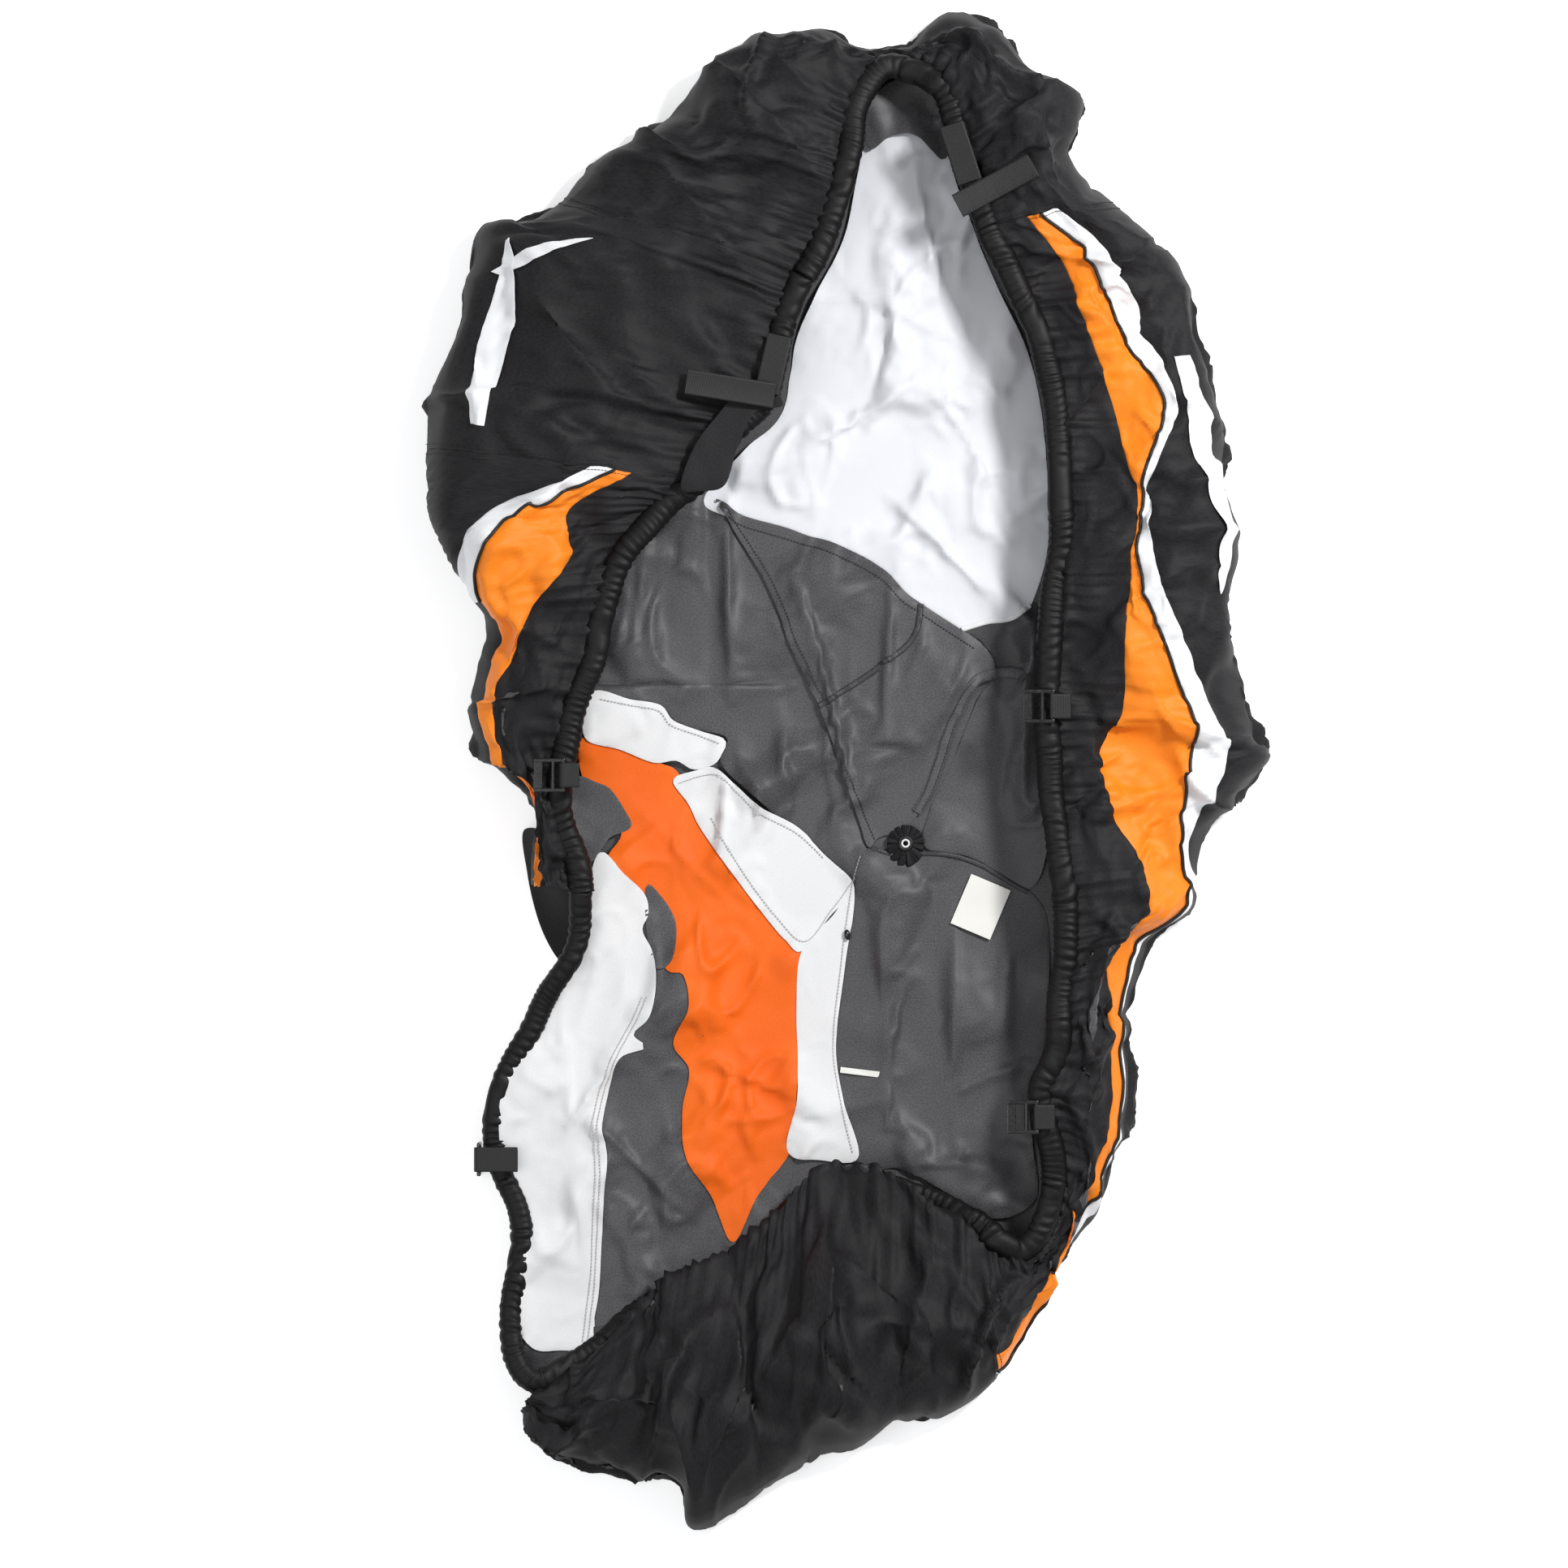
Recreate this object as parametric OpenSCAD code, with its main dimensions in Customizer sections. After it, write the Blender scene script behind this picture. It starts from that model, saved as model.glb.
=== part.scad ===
// Fitted elastic-hem storage cover, lying mouth up with its walls slumped inward.
// +Y runs along the cover towards its nose, +X to its right seen from above, +Z up.
// The origin is on the floor, under the middle of the whole cover.

/* [Cloth] */
// Thickness of a wall panel
wall_t = 2; // [1.2:0.1:2.4]
// Thickness of a panel that lies on the floor
floor_t = 1.6; // [1:0.1:2]
// Gap kept between neighbouring sewn panels
seam_gap = 0.6; // [0.4:0.1:1]
// How high the slumped walls stand, as a share of the heights in the station table
loft = 0.8; // [0.7:0.05:1]
// Height of the bulge as a share of the wall's height
bulge_share = 0.3; // [0.2:0.05:0.4]
// How far the wall's foot lies inside its bulge
foot_in = 30; // [15:1:40]
// How far a blade insert stands off the panel that it is sewn to
blade_lift = 2.4; // [2.2:0.1:3]
// Slope of the wall that is laid open at the rear left, in degrees
open_slope = 2.2; // [1:0.1:3]

/* [Hem] */
// Outer radius of the gathered hem casing
hem_r = 12; // [10:0.5:14]
// Thickness of the hem casing's cloth
hem_t = 2.4; // [1.6:0.2:3]
// Diameter of the elastic cord in the hem
elastic_d = 6; // [4:0.5:8]
// Diameter of the piping between two stripes
piping_d = 3; // [2.4:0.2:3.4]

/* [Webbing and buckles] */
// Width of the webbing
web_w = 25; // [20:1:38]
// Thickness of the webbing
web_t = 1.6; // [1.2:0.1:2]
// Length of a ladder-lock buckle
buckle_l = 32; // [28:1:40]
// Side rail width of a ladder-lock buckle
rail_w = 4; // [3:0.5:5]
// Diameter of a buckle's bars
bar_d = 4; // [3:0.5:4.5]
// Length of the side strap's free tail
side_tail_l = 92; // [60:1:120]
// Length of the front strap's free tail
front_tail_l = 88; // [60:1:120]

/* [Port and labels] */
// Radius of the hole in the port's ring
port_hole_r = 4; // [3:0.5:6]
// Outer radius of the port's ring
port_ring_r = 8.5; // [7.5:0.5:9]
// Outer radius of the gathered cloth round the port
port_cloth_r = 17; // [14:1:20]
// Width of the care label
label_w = 44; // [30:1:50]
// Length of the care label
label_l = 55; // [40:1:70]
// Length of the size tag
tag_l = 46; // [30:1:60]
// Width of the size tag
tag_w = 6; // [4:1:10]

/* [Hidden] */

// Wall stations, clockwise from the rear left corner over the nose to the tail.
// Each row: bulge x, bulge y, mouth x, mouth y, top height, mouth height,
// then how far in from the bulge the white, piping and orange seams lie (0 bulge, 1 mouth),
// and how far the hem is tucked under the wall's edge (0 open, 1 tucked).
WALL = [
    [-325, -115, -262, -125,  70,  60, 0.03, 0.06, 0.16, 0],
    [-335,  -40, -285,  -15,  85,  75, 0.03, 0.06, 0.18, 0],
    [-378,   30, -275,   40, 100,  85, 0.03, 0.06, 0.14, 0],
    [-380,  110, -255,   95, 115,  95, 0.03, 0.06, 0.20, 0],
    [-372,  155, -238,  165, 125,  98, 0.03, 0.08, 0.35, 0],
    [-400,  198, -215,  228, 132, 100, 0.03, 0.15, 0.62, 0],
    [-430,  255, -180,  268, 140, 105, 0.24, 0.38, 0.58, 0],
    [-430,  330, -140,  295, 145, 108, 0.58, 0.66, 0.72, 0],
    [-425,  405, -105,  345, 150, 110, 0.60, 0.66, 0.70, 0],
    [-390,  500,  -72,  378, 150, 112, 0.60, 0.66, 0.70, 0],
    [-370,  560,  -58,  450, 148, 114, 0.60, 0.66, 0.70, 0],
    [-295,  587,  -35,  500, 145, 115, 0.60, 0.66, 0.70, 0],
    [-250,  632,   -8,  552, 140, 113, 0.60, 0.66, 0.70, 0],
    [-190,  668,    5,  610, 138, 110, 0.60, 0.66, 0.70, 0],
    [-125,  740,   18,  668, 128, 102, 0.60, 0.66, 0.70, 0],
    [ -40,  765,   32,  698, 105,  92, 0.60, 0.66, 0.70, 0],
    [  35,  745,   52,  710,  80,  80, 0.60, 0.66, 0.70, 0],
    [ 128,  775,   85,  690, 105,  88, 0.60, 0.66, 0.70, 0],
    [ 185,  728,   96,  655, 125,  98, 0.60, 0.66, 0.70, 0],
    [ 235,  690,  105,  622, 138, 105, 0.60, 0.66, 0.70, 0],
    [ 232,  628,  118,  590, 140, 105, 0.60, 0.66, 0.70, 0],
    [ 275,  582,  130,  552, 140, 105, 0.46, 0.56, 0.66, 0],
    [ 338,  528,  150,  508, 138, 104, 0.40, 0.52, 0.66, 0],
    [ 362,  435,  184,  430, 140, 104, 0.34, 0.46, 0.65, 0],
    [ 376,  375,  198,  370, 142, 105, 0.27, 0.34, 0.62, 0],
    [ 395,  280,  204,  285, 145, 106, 0.48, 0.53, 0.57, 0],
    [ 400,  200,  200,  205, 145, 108, 0.44, 0.53, 0.58, 0],
    [ 400,  110,  190,  125, 140, 108, 0.22, 0.34, 0.56, 0],
    [ 410,   55,  187,   65, 135, 108, 0.12, 0.25, 0.58, 0],
    [ 435,   15,  190,   10, 126, 106, 0.20, 0.35, 0.72, 0],
    [ 385,  -40,  197,  -50, 122, 106, 0.10, 0.22, 0.60, 0],
    [ 356,  -95,  204, -105, 125, 108, 0.03, 0.08, 0.36, 0],
    [ 355, -140,  206, -160, 125, 108, 0.02, 0.06, 0.32, 0],
    [ 310, -190,  205, -210, 122, 106, 0.02, 0.06, 0.20, 0],
    [ 292, -280,  198, -280, 120, 102, 0.02, 0.05, 0.12, 0],
    [ 286, -365,  182, -325, 118,  96, 0.02, 0.05, 0.12, 0],
    [ 262, -430,  195, -385,  98,  84, 0.02, 0.06, 0.14, 0],
    [ 228, -485,  198, -440,  88,  78, 0.02, 0.06, 0.16, 0],
    [ 205, -535,  170, -480,  92,  76, 0.02, 0.06, 0.16, 0],
    [ 150, -620,  138, -455, 110,  80, 0.02, 0.06, 0.16, 0],
    [  95, -655,   92, -425, 120,  78, 0.02, 0.06, 0.16, 0.5],
    [  25, -685,   22, -402, 125,  70, 0.60, 0.66, 0.70, 1],
    [ -55, -710,  -35, -410, 122,  62, 0.60, 0.66, 0.70, 1],
    [-155, -775, -100, -475, 112,  58, 0.60, 0.66, 0.70, 1],
    [-190, -738, -160, -505, 105,  55, 0.60, 0.66, 0.70, 1],
    [-245, -725, -210, -535,  95,  52, 0.60, 0.66, 0.70, 1],
    [-305, -710, -262, -580,  80,  48, 0.60, 0.66, 0.70, 0.5],
    [-335, -655, -310, -615,  60,  42, 0.60, 0.66, 0.70, 0]
];
LAST = len(WALL) - 1;
// Stations where one wall panel meets the next
S_LEFT_WHITE = 4.5;
S_SHOULDER = 7;
S_NOSE_LEFT = 11;
S_NOSE_RIGHT = 21;
S_TAIL = 39;
// Columns of a station row that hold a seam's place and the tuck
WHITE = 6;
PIPE = 7;
ORANGE = 8;
TUCK = 9;
// How far a tucked hem drops and moves out, and how wide the wall's edge covers it
TUCK_DROP = 24;
TUCK_OUT = 8;

// Hem of the wall that is laid open, from the tail back up to the first station
OPEN_HEM = [
    [-342, -605, 32], [-348, -555, 22], [-337, -490, 17], [-340, -450, 16.5],
    [-360, -400, 16.5], [-360, -325, 16.5], [-322, -255, 23], [-288, -195, 38]
];
// Edge of the crown under the wall that is laid open
CROWN_LEFT = [
    [-285, -600], [-150, -560], [-100, -470], [-80, -380], [-75, -270], [-110, -200], [-200, -120], [-250, -100]
];
// Heights of the layers of cloth on the floor
Z_LAYER = 2.2;
Z_LABEL = Z_LAYER + floor_t + 0.5;
// Line along which the open wall starts to rise
X_OPEN = -60;
Z_OPEN = 3;
// Seam across the crown, between its front and rear
Y_CROWN_SEAM = -85;
// Centre of the gathered port
PORT = [58, -74];
// Steps between stations, and cross-section steps of the wall under its bulge
SUB = 2;
FOOT_STEPS = 3;
W_FOOT = -0.2;
// Share of the wall, from the bulge, over which it rises to its top
W_TOP = 0.42;
// Gap between the wall's upper edge and the hem casing's centre line
RIM_GAP = hem_r + 1;
// Pivot gap round a buckle's bar
BAR_CLEAR = 0.4;
// Width of a slot in a ladder-lock, between its bars
SLOT_W = 6.5;
EDGE_CLEAR = 0.6;
buckle_w = web_w + 2 * (rail_w + EDGE_CLEAR);
loop_r = bar_d / 2 + BAR_CLEAR;

// ---- the wall as a surface: a station row, and how far in from its bulge ----
function mix(a, b, t) = a + (b - a) * t;
function curve(p, q, r, s, t) =
    0.5 * (2 * q + (r - p) * t + (2 * p - 5 * q + 4 * r - s) * t * t + (3 * q - p - 3 * r + s) * t * t * t);
STATION = [for (r = WALL) [r[0], r[1], r[2], r[3], loft * r[4], loft * r[5], r[6], r[7], r[8], r[9]]];
function row(k) =
    let (i = min(floor(k), LAST - 1), t = k - i)
    t == 0 ? STATION[i] : curve(STATION[max(i - 1, 0)], STATION[i], STATION[i + 1], STATION[min(i + 2, LAST)], t);
function bulge(r) = [r[0], r[1]];
function mouth(r) = [r[2], r[3]];
function inward(r) = (mouth(r) - bulge(r)) / norm(mouth(r) - bulge(r));
function span_in(r) = norm(mouth(r) - bulge(r));
function smooth(u) = u * u * (3 - 2 * u);
function fall(u) = smooth(max(0, min(1, u)));
// Distance in from the bulge and height, at w from the foot (W_FOOT) to the mouth (1)
function section(r, w) =
    w < 0
    ? let (a = 90 * w / W_FOOT) [foot_in * (1 - cos(a)), bulge_share * r[4] * (1 - sin(a)) + wall_t / 2 * sin(a)]
    : let (rise = sqrt(max(0, 1 - pow(1 - min(1, w / W_TOP), 2))))
      [span_in(r) * w, mix(bulge_share, 1, rise) * r[4] - (r[4] - r[5]) * fall((w - W_TOP) / (1 - W_TOP))];
function section_normal(r, w) =
    let (h = 0.01, d = section(r, min(1, w + h)) - section(r, max(W_FOOT, w - h)), n = norm(d))
    [-d[1] / n, d[0] / n];
function wall_point(r, w, off) =
    let (s = section(r, w) + off * section_normal(r, w), xy = bulge(r) + inward(r) * s[0])
    [xy[0], xy[1], max(0, s[1])];
function rim_w(r) = 1 - (hem_r + RIM_GAP + wall_t) / span_in(r) * (1 - max(0, 2 * r[TUCK] - 1));

// ---- closed solids swept along a row of rings ----
// A ring's second half lies under its first half. Each four-cornered face is cut in two along a
// diagonal, and the second half takes the mirrored one, so both faces of a thin wall stay parallel.
// An end is closed by strips between the points that face each other across the ring.
function cap(n, first, turned) = [for (i = [0:n / 2 - 2]) each
    let (a = first + i, b = a + 1, c = first + n - 2 - i, d = c + 1)
    turned ? [[a, c, b], [a, d, c]] : [[a, b, c], [a, c, d]]
];
module swept(rings) {
    n = len(rings[0]);
    m = len(rings);
    polyhedron(
        points = [for (ring = rings) each ring],
        faces = concat(
            cap(n, 0, false),
            [for (k = [0:m - 2], i = [0:n - 1]) let (j = (i + 1) % n, a = k * n) each (
                i < n / 2
                ? [[a + i, a + n + i, a + n + j], [a + i, a + n + j, a + j]]
                : [[a + i, a + n + i, a + j], [a + n + i, a + n + j, a + j]]
            )],
            cap(n, (m - 1) * n, true)
        )
    );
}
function stations(from, to) =
    let (n = ceil((to - from) * SUB))
    [for (i = [0:n]) mix(from, to, i / n)];
// Evenly spaced shares from lo to hi
function shares(lo, hi, steps) = [for (i = [0:steps]) mix(lo, hi, i / steps)];
// A panel from station `from` to `to`; edge columns give its seams, LOW the foot and HIGH the rim
LOW = -1;
HIGH = -2;
function edge_w(r, edge) =
    edge == LOW ? W_FOOT :
    edge == HIGH ? rim_w(r) :
    min(r[edge], rim_w(r) - 0.02);
function gap_w(r) = seam_gap / max(20, span_in(r));
module wall_panel(from, to, low, high, steps, lift = 0) {
    swept([for (k = stations(from, to))
        let (
            r = row(k),
            g = gap_w(r),
            lo = low == LOW ? 0 : edge_w(r, low) + g,
            hi = max(lo + 2 * g, edge_w(r, high) - g),
            below = low == LOW ? [for (i = [0:FOOT_STEPS - 1]) W_FOOT * (1 - i / FOOT_STEPS)] : [],
            ws = concat(below, shares(lo, hi, steps))
        )
        concat(
            [for (w = ws) wall_point(r, w, lift + wall_t / 2)],
            [for (i = [len(ws) - 1:-1:0]) wall_point(r, ws[i], lift - wall_t / 2)]
        )
    ]);
}
// Trims a station number in from a joint with the next panel
NIP = 0.02;

// ---- the loop of the hem ----
function hem_of(r) =
    let (c = mouth(r) - inward(r) * (hem_r + TUCK_OUT * r[TUCK]))
    [c[0], c[1], r[5] - TUCK_DROP * min(1, 2 * r[TUCK])];
HEM = concat([for (r = STATION) hem_of(r)], OPEN_HEM);
HEM_N = len(HEM);
function hem_at(k) =
    let (i = floor(k), t = k - i)
    curve(HEM[(i + HEM_N - 1) % HEM_N], HEM[i % HEM_N], HEM[(i + 1) % HEM_N], HEM[(i + 2) % HEM_N], t);
function hem_side(k) =
    let (d = hem_at(k + 0.1) - hem_at(k + HEM_N - 0.1), n = norm([d[0], d[1]]))
    [d[1] / n, -d[0] / n, 0];
function on_hem(k, p) = hem_at(k) + hem_side(k) * p[0] + [0, 0, p[1]];
// Casing outline: an open tube whose slit faces away from the mouth
SLIT = 35;
CASING_STEPS = 8;
function casing_arc(r) =
    [for (i = [0:CASING_STEPS]) let (a = 180 + SLIT + i * (360 - 2 * SLIT) / CASING_STEPS) r * [cos(a), sin(a)]];
CASING = concat(casing_arc(hem_r), [for (i = [CASING_STEPS:-1:0]) casing_arc(hem_r - hem_t)[i]]);
ELASTIC_SIDES = 6;
ELASTIC = [for (i = [0:ELASTIC_SIDES - 1]) elastic_d / 2 * [cos(i * 360 / ELASTIC_SIDES), sin(i * 360 / ELASTIC_SIDES)]];
module hem_length(from, to) {
    swept([for (k = stations(from, to)) [for (i = [len(CASING) - 1:-1:0]) on_hem(k, CASING[i])]]);
}

// ---- cloth lying on the floor ----
FOOT_CLEAR = 6;
function foot_xy(r) = bulge(r) + inward(r) * (foot_in + FOOT_CLEAR);
// The crown follows the wall's foot more finely than the wall's own steps
FOOT_STEP = 0.25;
FOOT_LINE = concat([for (k = [0:FOOT_STEP:LAST]) foot_xy(row(k))], CROWN_LEFT);
module floor_cloth(points, z = Z_LAYER) {
    translate([0, 0, z]) linear_extrude(floor_t) polygon(points);
}
module crown(front) {
    far = 2000;
    side = front ? seam_gap / 2 : -far - seam_gap / 2;
    intersection() {
        linear_extrude(floor_t) difference() {
            polygon(FOOT_LINE);
            translate(PORT) circle(r = port_ring_r + EDGE_CLEAR, $fn = 64);
        }
        translate([-far / 2, Y_CROWN_SEAM + side, -1]) cube([far, far, floor_t + 2]);
    }
}
// Cloth of the open wall, on the slope that rises towards the rear left
module open_cloth(points) {
    translate([X_OPEN, 0, Z_OPEN]) rotate([0, open_slope, 0]) translate([-X_OPEN, 0, 0])
        linear_extrude(floor_t) polygon(points);
}

module crown_front() { color("#232124") crown(true); }
module crown_rear() { color("#4e4c50") crown(false); }
module soft_liner() {
    color("#ebecf2") floor_cloth([
        [-140, 281], [-70, 256], [20, 206], [70, 171], [125, 141], [160, 150], [192, 172],
        [205, 290], [198, 370], [150, 505], [118, 590], [96, 655], [60, 700], [30, 690],
        [5, 610], [-35, 500], [-58, 450], [-90, 370], [-140, 300]
    ]);
}
module centre_flap() {
    color("#5a585c") floor_cloth([
        [-139, 279], [-70, 254], [20, 204], [70, 169], [124, 139], [139, 86], [114, 70],
        [94, 10], [74, -40], [55, -55], [36, -60], [20, -79], [1, -15], [-39, 65], [-89, 205]
    ]);
}
module left_inner_panel() {
    color("#4a484c") floor_cloth([
        [-148, 274], [-91, 204], [-41, 64], [-1, -16], [18, -82], [0, -118], [-93, -38], [-144, 2],
        [-134, 32], [-184, 38], [-204, 63], [-262, 78], [-240, 140], [-215, 220], [-180, 262]
    ]);
}
module right_inner_panel() {
    color("#4a484c") floor_cloth([
        [126, 138], [141, 86], [116, 69], [96, 9], [82, -48], [82, -84], [130, -94], [184, -122],
        [188, 10], [185, 70], [192, 168], [160, 148]
    ]);
}
module rear_inner_panel() {
    color("#504e52") floor_cloth([
        [20, -82], [34, -102], [82, -88], [130, -97], [184, -126], [196, -280], [178, -325], [130, -425],
        [55, -400], [12, -398], [-13, -280], [2, -140]
    ]);
}
module open_white_band() {
    color("#f2f2f4") open_cloth([[-268, 73], [-206, 59], [-186, 34], [-137, 29], [-146, 2], [-170, 1], [-210, 11], [-272, 36]]);
}
module open_orange_panel() {
    color("#f56e14") open_cloth([
        [-272, 30], [-210, 9], [-181, -11], [-146, -91], [-66, -191], [-86, -206], [-72, -292], [-62, -370],
        [-62, -398], [-116, -486], [-159, -405], [-159, -315], [-174, -280], [-159, -215],
        [-184, -205], [-209, -150], [-252, -92], [-236, -65], [-252, -30], [-274, -12]
    ]);
}
module open_middle_band() {
    color("#f4f4f6") open_cloth([[-178, -10], [-145, -1], [-95, -41], [-62, -68], [-62, -194], [-144, -91]]);
}
module open_lower_band() {
    color("#f4f4f6") floor_cloth([[-5, -152], [-57, -190], [-57, -360], [8, -396], [-15, -280]]);
}
module open_white_panel() {
    color("#f4f4f6") open_cloth([
        [-258, -99], [-215, -145], [-214, -200], [-200, -211], [-205, -255], [-220, -275], [-205, -286],
        [-235, -296], [-250, -390], [-250, -455], [-254, -540], [-256, -562], [-284, -573], [-312, -586],
        [-322, -550], [-313, -490], [-316, -440], [-338, -398], [-335, -325], [-294, -252], [-262, -194]
    ]);
}
module open_grey_panel() {
    color("#464448") open_cloth([
        [-212, -148], [-186, -204], [-161, -216], [-176, -280], [-161, -315], [-161, -405], [-119, -486],
        [-160, -500], [-230, -545], [-251, -545], [-248, -455], [-248, -390], [-233, -297], [-202, -286],
        [-217, -275], [-203, -255], [-197, -210], [-211, -200]
    ]);
}

// ---- walls ----
module nose_panel() { color("#29272a") wall_panel(S_NOSE_LEFT + NIP, S_NOSE_RIGHT - NIP, LOW, HIGH, 5); }
module left_shoulder_panel() { color("#242226") wall_panel(S_SHOULDER + NIP, S_NOSE_LEFT - NIP, LOW, HIGH, 5); }
module left_side_panel() { color("#29272a") wall_panel(0, S_SHOULDER - NIP, LOW, WHITE, 3); }
module left_white_stripe() { color("#f8f8f8") wall_panel(S_LEFT_WHITE, S_SHOULDER - NIP, WHITE, PIPE, 1); }
module left_orange_stripe() { color("#ff9119") wall_panel(0, S_SHOULDER - NIP, PIPE, ORANGE, 1); }
module left_skirt() { color("#1f1d20") wall_panel(0, S_SHOULDER - NIP, ORANGE, HIGH, 2); }
module right_side_panel() { color("#29272a") wall_panel(S_NOSE_RIGHT + NIP, S_TAIL - NIP, LOW, WHITE, 3); }
module right_white_stripe() { color("#f8f8f8") wall_panel(S_NOSE_RIGHT + NIP, S_TAIL - NIP, WHITE, PIPE, 1); }
module right_orange_stripe() { color("#ff9119") wall_panel(S_NOSE_RIGHT + NIP, S_TAIL - NIP, PIPE, ORANGE, 1); }
module right_skirt() { color("#1f1d20") wall_panel(S_NOSE_RIGHT + NIP, S_TAIL - NIP, ORANGE, HIGH, 3); }
module tail_panel() { color("#242226") wall_panel(S_TAIL + NIP, LAST, LOW, HIGH, 5); }

// Piping lies on top of the seam between the white and orange stripes
PIPING_SIDES = 6;
PIPING_LIFT = wall_t / 2 + piping_d / 2 + 0.4;
module piping(from, to) {
    swept([for (k = stations(from, to))
        let (r = row(k), w = edge_w(r, PIPE), n = section_normal(r, w), c = section(r, w) + PIPING_LIFT * n)
        [for (i = [0:PIPING_SIDES - 1])
            let (a = i * 360 / PIPING_SIDES, s = c + piping_d / 2 * [cos(a), sin(a)], xy = bulge(r) + inward(r) * s[0])
            [xy[0], xy[1], s[1]]]
    ]);
}
module left_piping() { color("#1a181b") piping(S_LEFT_WHITE, S_SHOULDER - NIP); }
module right_piping() { color("#1a181b") piping(S_NOSE_RIGHT + NIP, S_TAIL - NIP); }

// Blade inserts: how far in from the bulge their two edges lie, from one tip to the other
module blade(from, to, outer, inner) {
    ks = stations(from, to);
    n = len(ks) - 1;
    swept([for (i = [0:n])
        let (r = row(ks[i]), u = i / n, taper = sin(180 * mix(0.04, 0.96, u)),
             mid = mix(outer, inner, u), ws = shares(mid - 0.08 * taper, mid + 0.08 * taper, 2))
        concat(
            [for (w = ws) wall_point(r, w, blade_lift + floor_t / 2)],
            [for (j = [2:-1:0]) wall_point(r, ws[j], blade_lift - floor_t / 2)]
        )
    ]);
}
module right_blade() { color("#f8f8f8") blade(S_NOSE_RIGHT + 2.5, S_NOSE_RIGHT + 5, 0.12, 0.3); }
module left_blade() { color("#f8f8f8") blade(S_SHOULDER + 0.5, S_NOSE_LEFT - 0.5, 0.12, 0.2); }

// ---- hem ----
module hem_casing_front() { color("#1f1d20") hem_length(S_NOSE_LEFT + NIP, S_NOSE_RIGHT - NIP); }
module hem_casing_right() { color("#1f1d20") hem_length(S_NOSE_RIGHT + NIP, S_TAIL - NIP); }
module hem_casing_rear() { color("#1f1d20") hem_length(S_TAIL + NIP, HEM_N - NIP); }
module hem_casing_left() { color("#1f1d20") hem_length(NIP, S_NOSE_LEFT - NIP); }
module hem_elastic() {
    color("#3a383c") swept([for (k = stations(0, HEM_N - 0.5)) [for (i = [len(ELASTIC) - 1:-1:0]) on_hem(k, ELASTIC[i])]]);
}

// ---- port, bead and labels ----
module tube(r_out, r_in, h) {
    linear_extrude(h) difference() {
        circle(r = r_out, $fn = 64);
        circle(r = r_in, $fn = 64);
    }
}
PORT_RING_H = 4;
module port_gather() {
    color("#1a181b") translate([PORT[0], PORT[1], Z_LAYER]) tube(port_cloth_r, port_ring_r + EDGE_CLEAR, floor_t);
}
module port_ring() { color("#1a181b") translate(PORT) tube(port_ring_r, port_hole_r, PORT_RING_H); }
// A short round-ended bead on the seam between the rear inner panel and the white band
BEAD = [-2, -168, 8];
BEAD_R = 3;
BEAD_L = 5;
module seam_bead() {
    color("#1a181b") translate(BEAD) rotate([90, 0, 10]) union() {
        cylinder(r = BEAD_R, h = BEAD_L, center = true, $fn = 32);
        translate([0, 0, BEAD_L / 2]) sphere(r = BEAD_R, $fn = 32);
        translate([0, 0, -BEAD_L / 2]) sphere(r = BEAD_R, $fn = 32);
    }
}
LABEL_T = 0.6;
LABEL_AT = [146, -114];
LABEL_TURN = -23;
module care_label() {
    color("#f5f3ec") translate([LABEL_AT[0], LABEL_AT[1], Z_LABEL]) rotate([0, 0, LABEL_TURN])
        translate([-label_w / 2, -label_l, 0]) cube([label_w, label_l, LABEL_T]);
}
TAG_AT = [-9, -307];
TAG_TURN = -7;
module size_tag() {
    color("#f5f3ec") translate([TAG_AT[0], TAG_AT[1], Z_LABEL]) rotate([0, 0, TAG_TURN])
        translate([0, -tag_w / 2, 0]) cube([tag_l, tag_w, LABEL_T]);
}

// ---- webbing and buckles ----
// A hairpin of webbing round a bar at the origin, its two ends stitched together at -x
module buckle_loop(length) {
    outer = loop_r + web_t;
    rotate([90, 0, 0]) translate([0, 0, -web_w / 2]) linear_extrude(web_w) difference() {
        union() {
            circle(r = outer, $fn = 48);
            translate([-length, -outer]) square([length, 2 * outer]);
        }
        circle(r = loop_r, $fn = 48);
        translate([-length + web_t, -loop_r]) square([length - web_t, 2 * loop_r]);
    }
}
// A ladder-lock: two side rails, an anchor bar at the origin, two ladder bars and a lifting tab
TAB_L = 9;
module ladder_lock() {
    inner = web_w / 2 + EDGE_CLEAR;
    step = SLOT_W + bar_d;
    for (side = [-1, 1])
        translate([-bar_d / 2, side * (inner + rail_w / 2) - rail_w / 2, -bar_d / 2]) cube([buckle_l, rail_w, bar_d]);
    for (x = [0, step])
        translate([x, 0, 0]) rotate([90, 0, 0]) cylinder(d = bar_d, h = buckle_w - rail_w, center = true, $fn = 32);
    translate([buckle_l - bar_d / 2 - TAB_L, -inner - rail_w / 2, -bar_d / 2])
        cube([TAB_L, 2 * inner + rail_w, bar_d * 0.7]);
}
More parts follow.
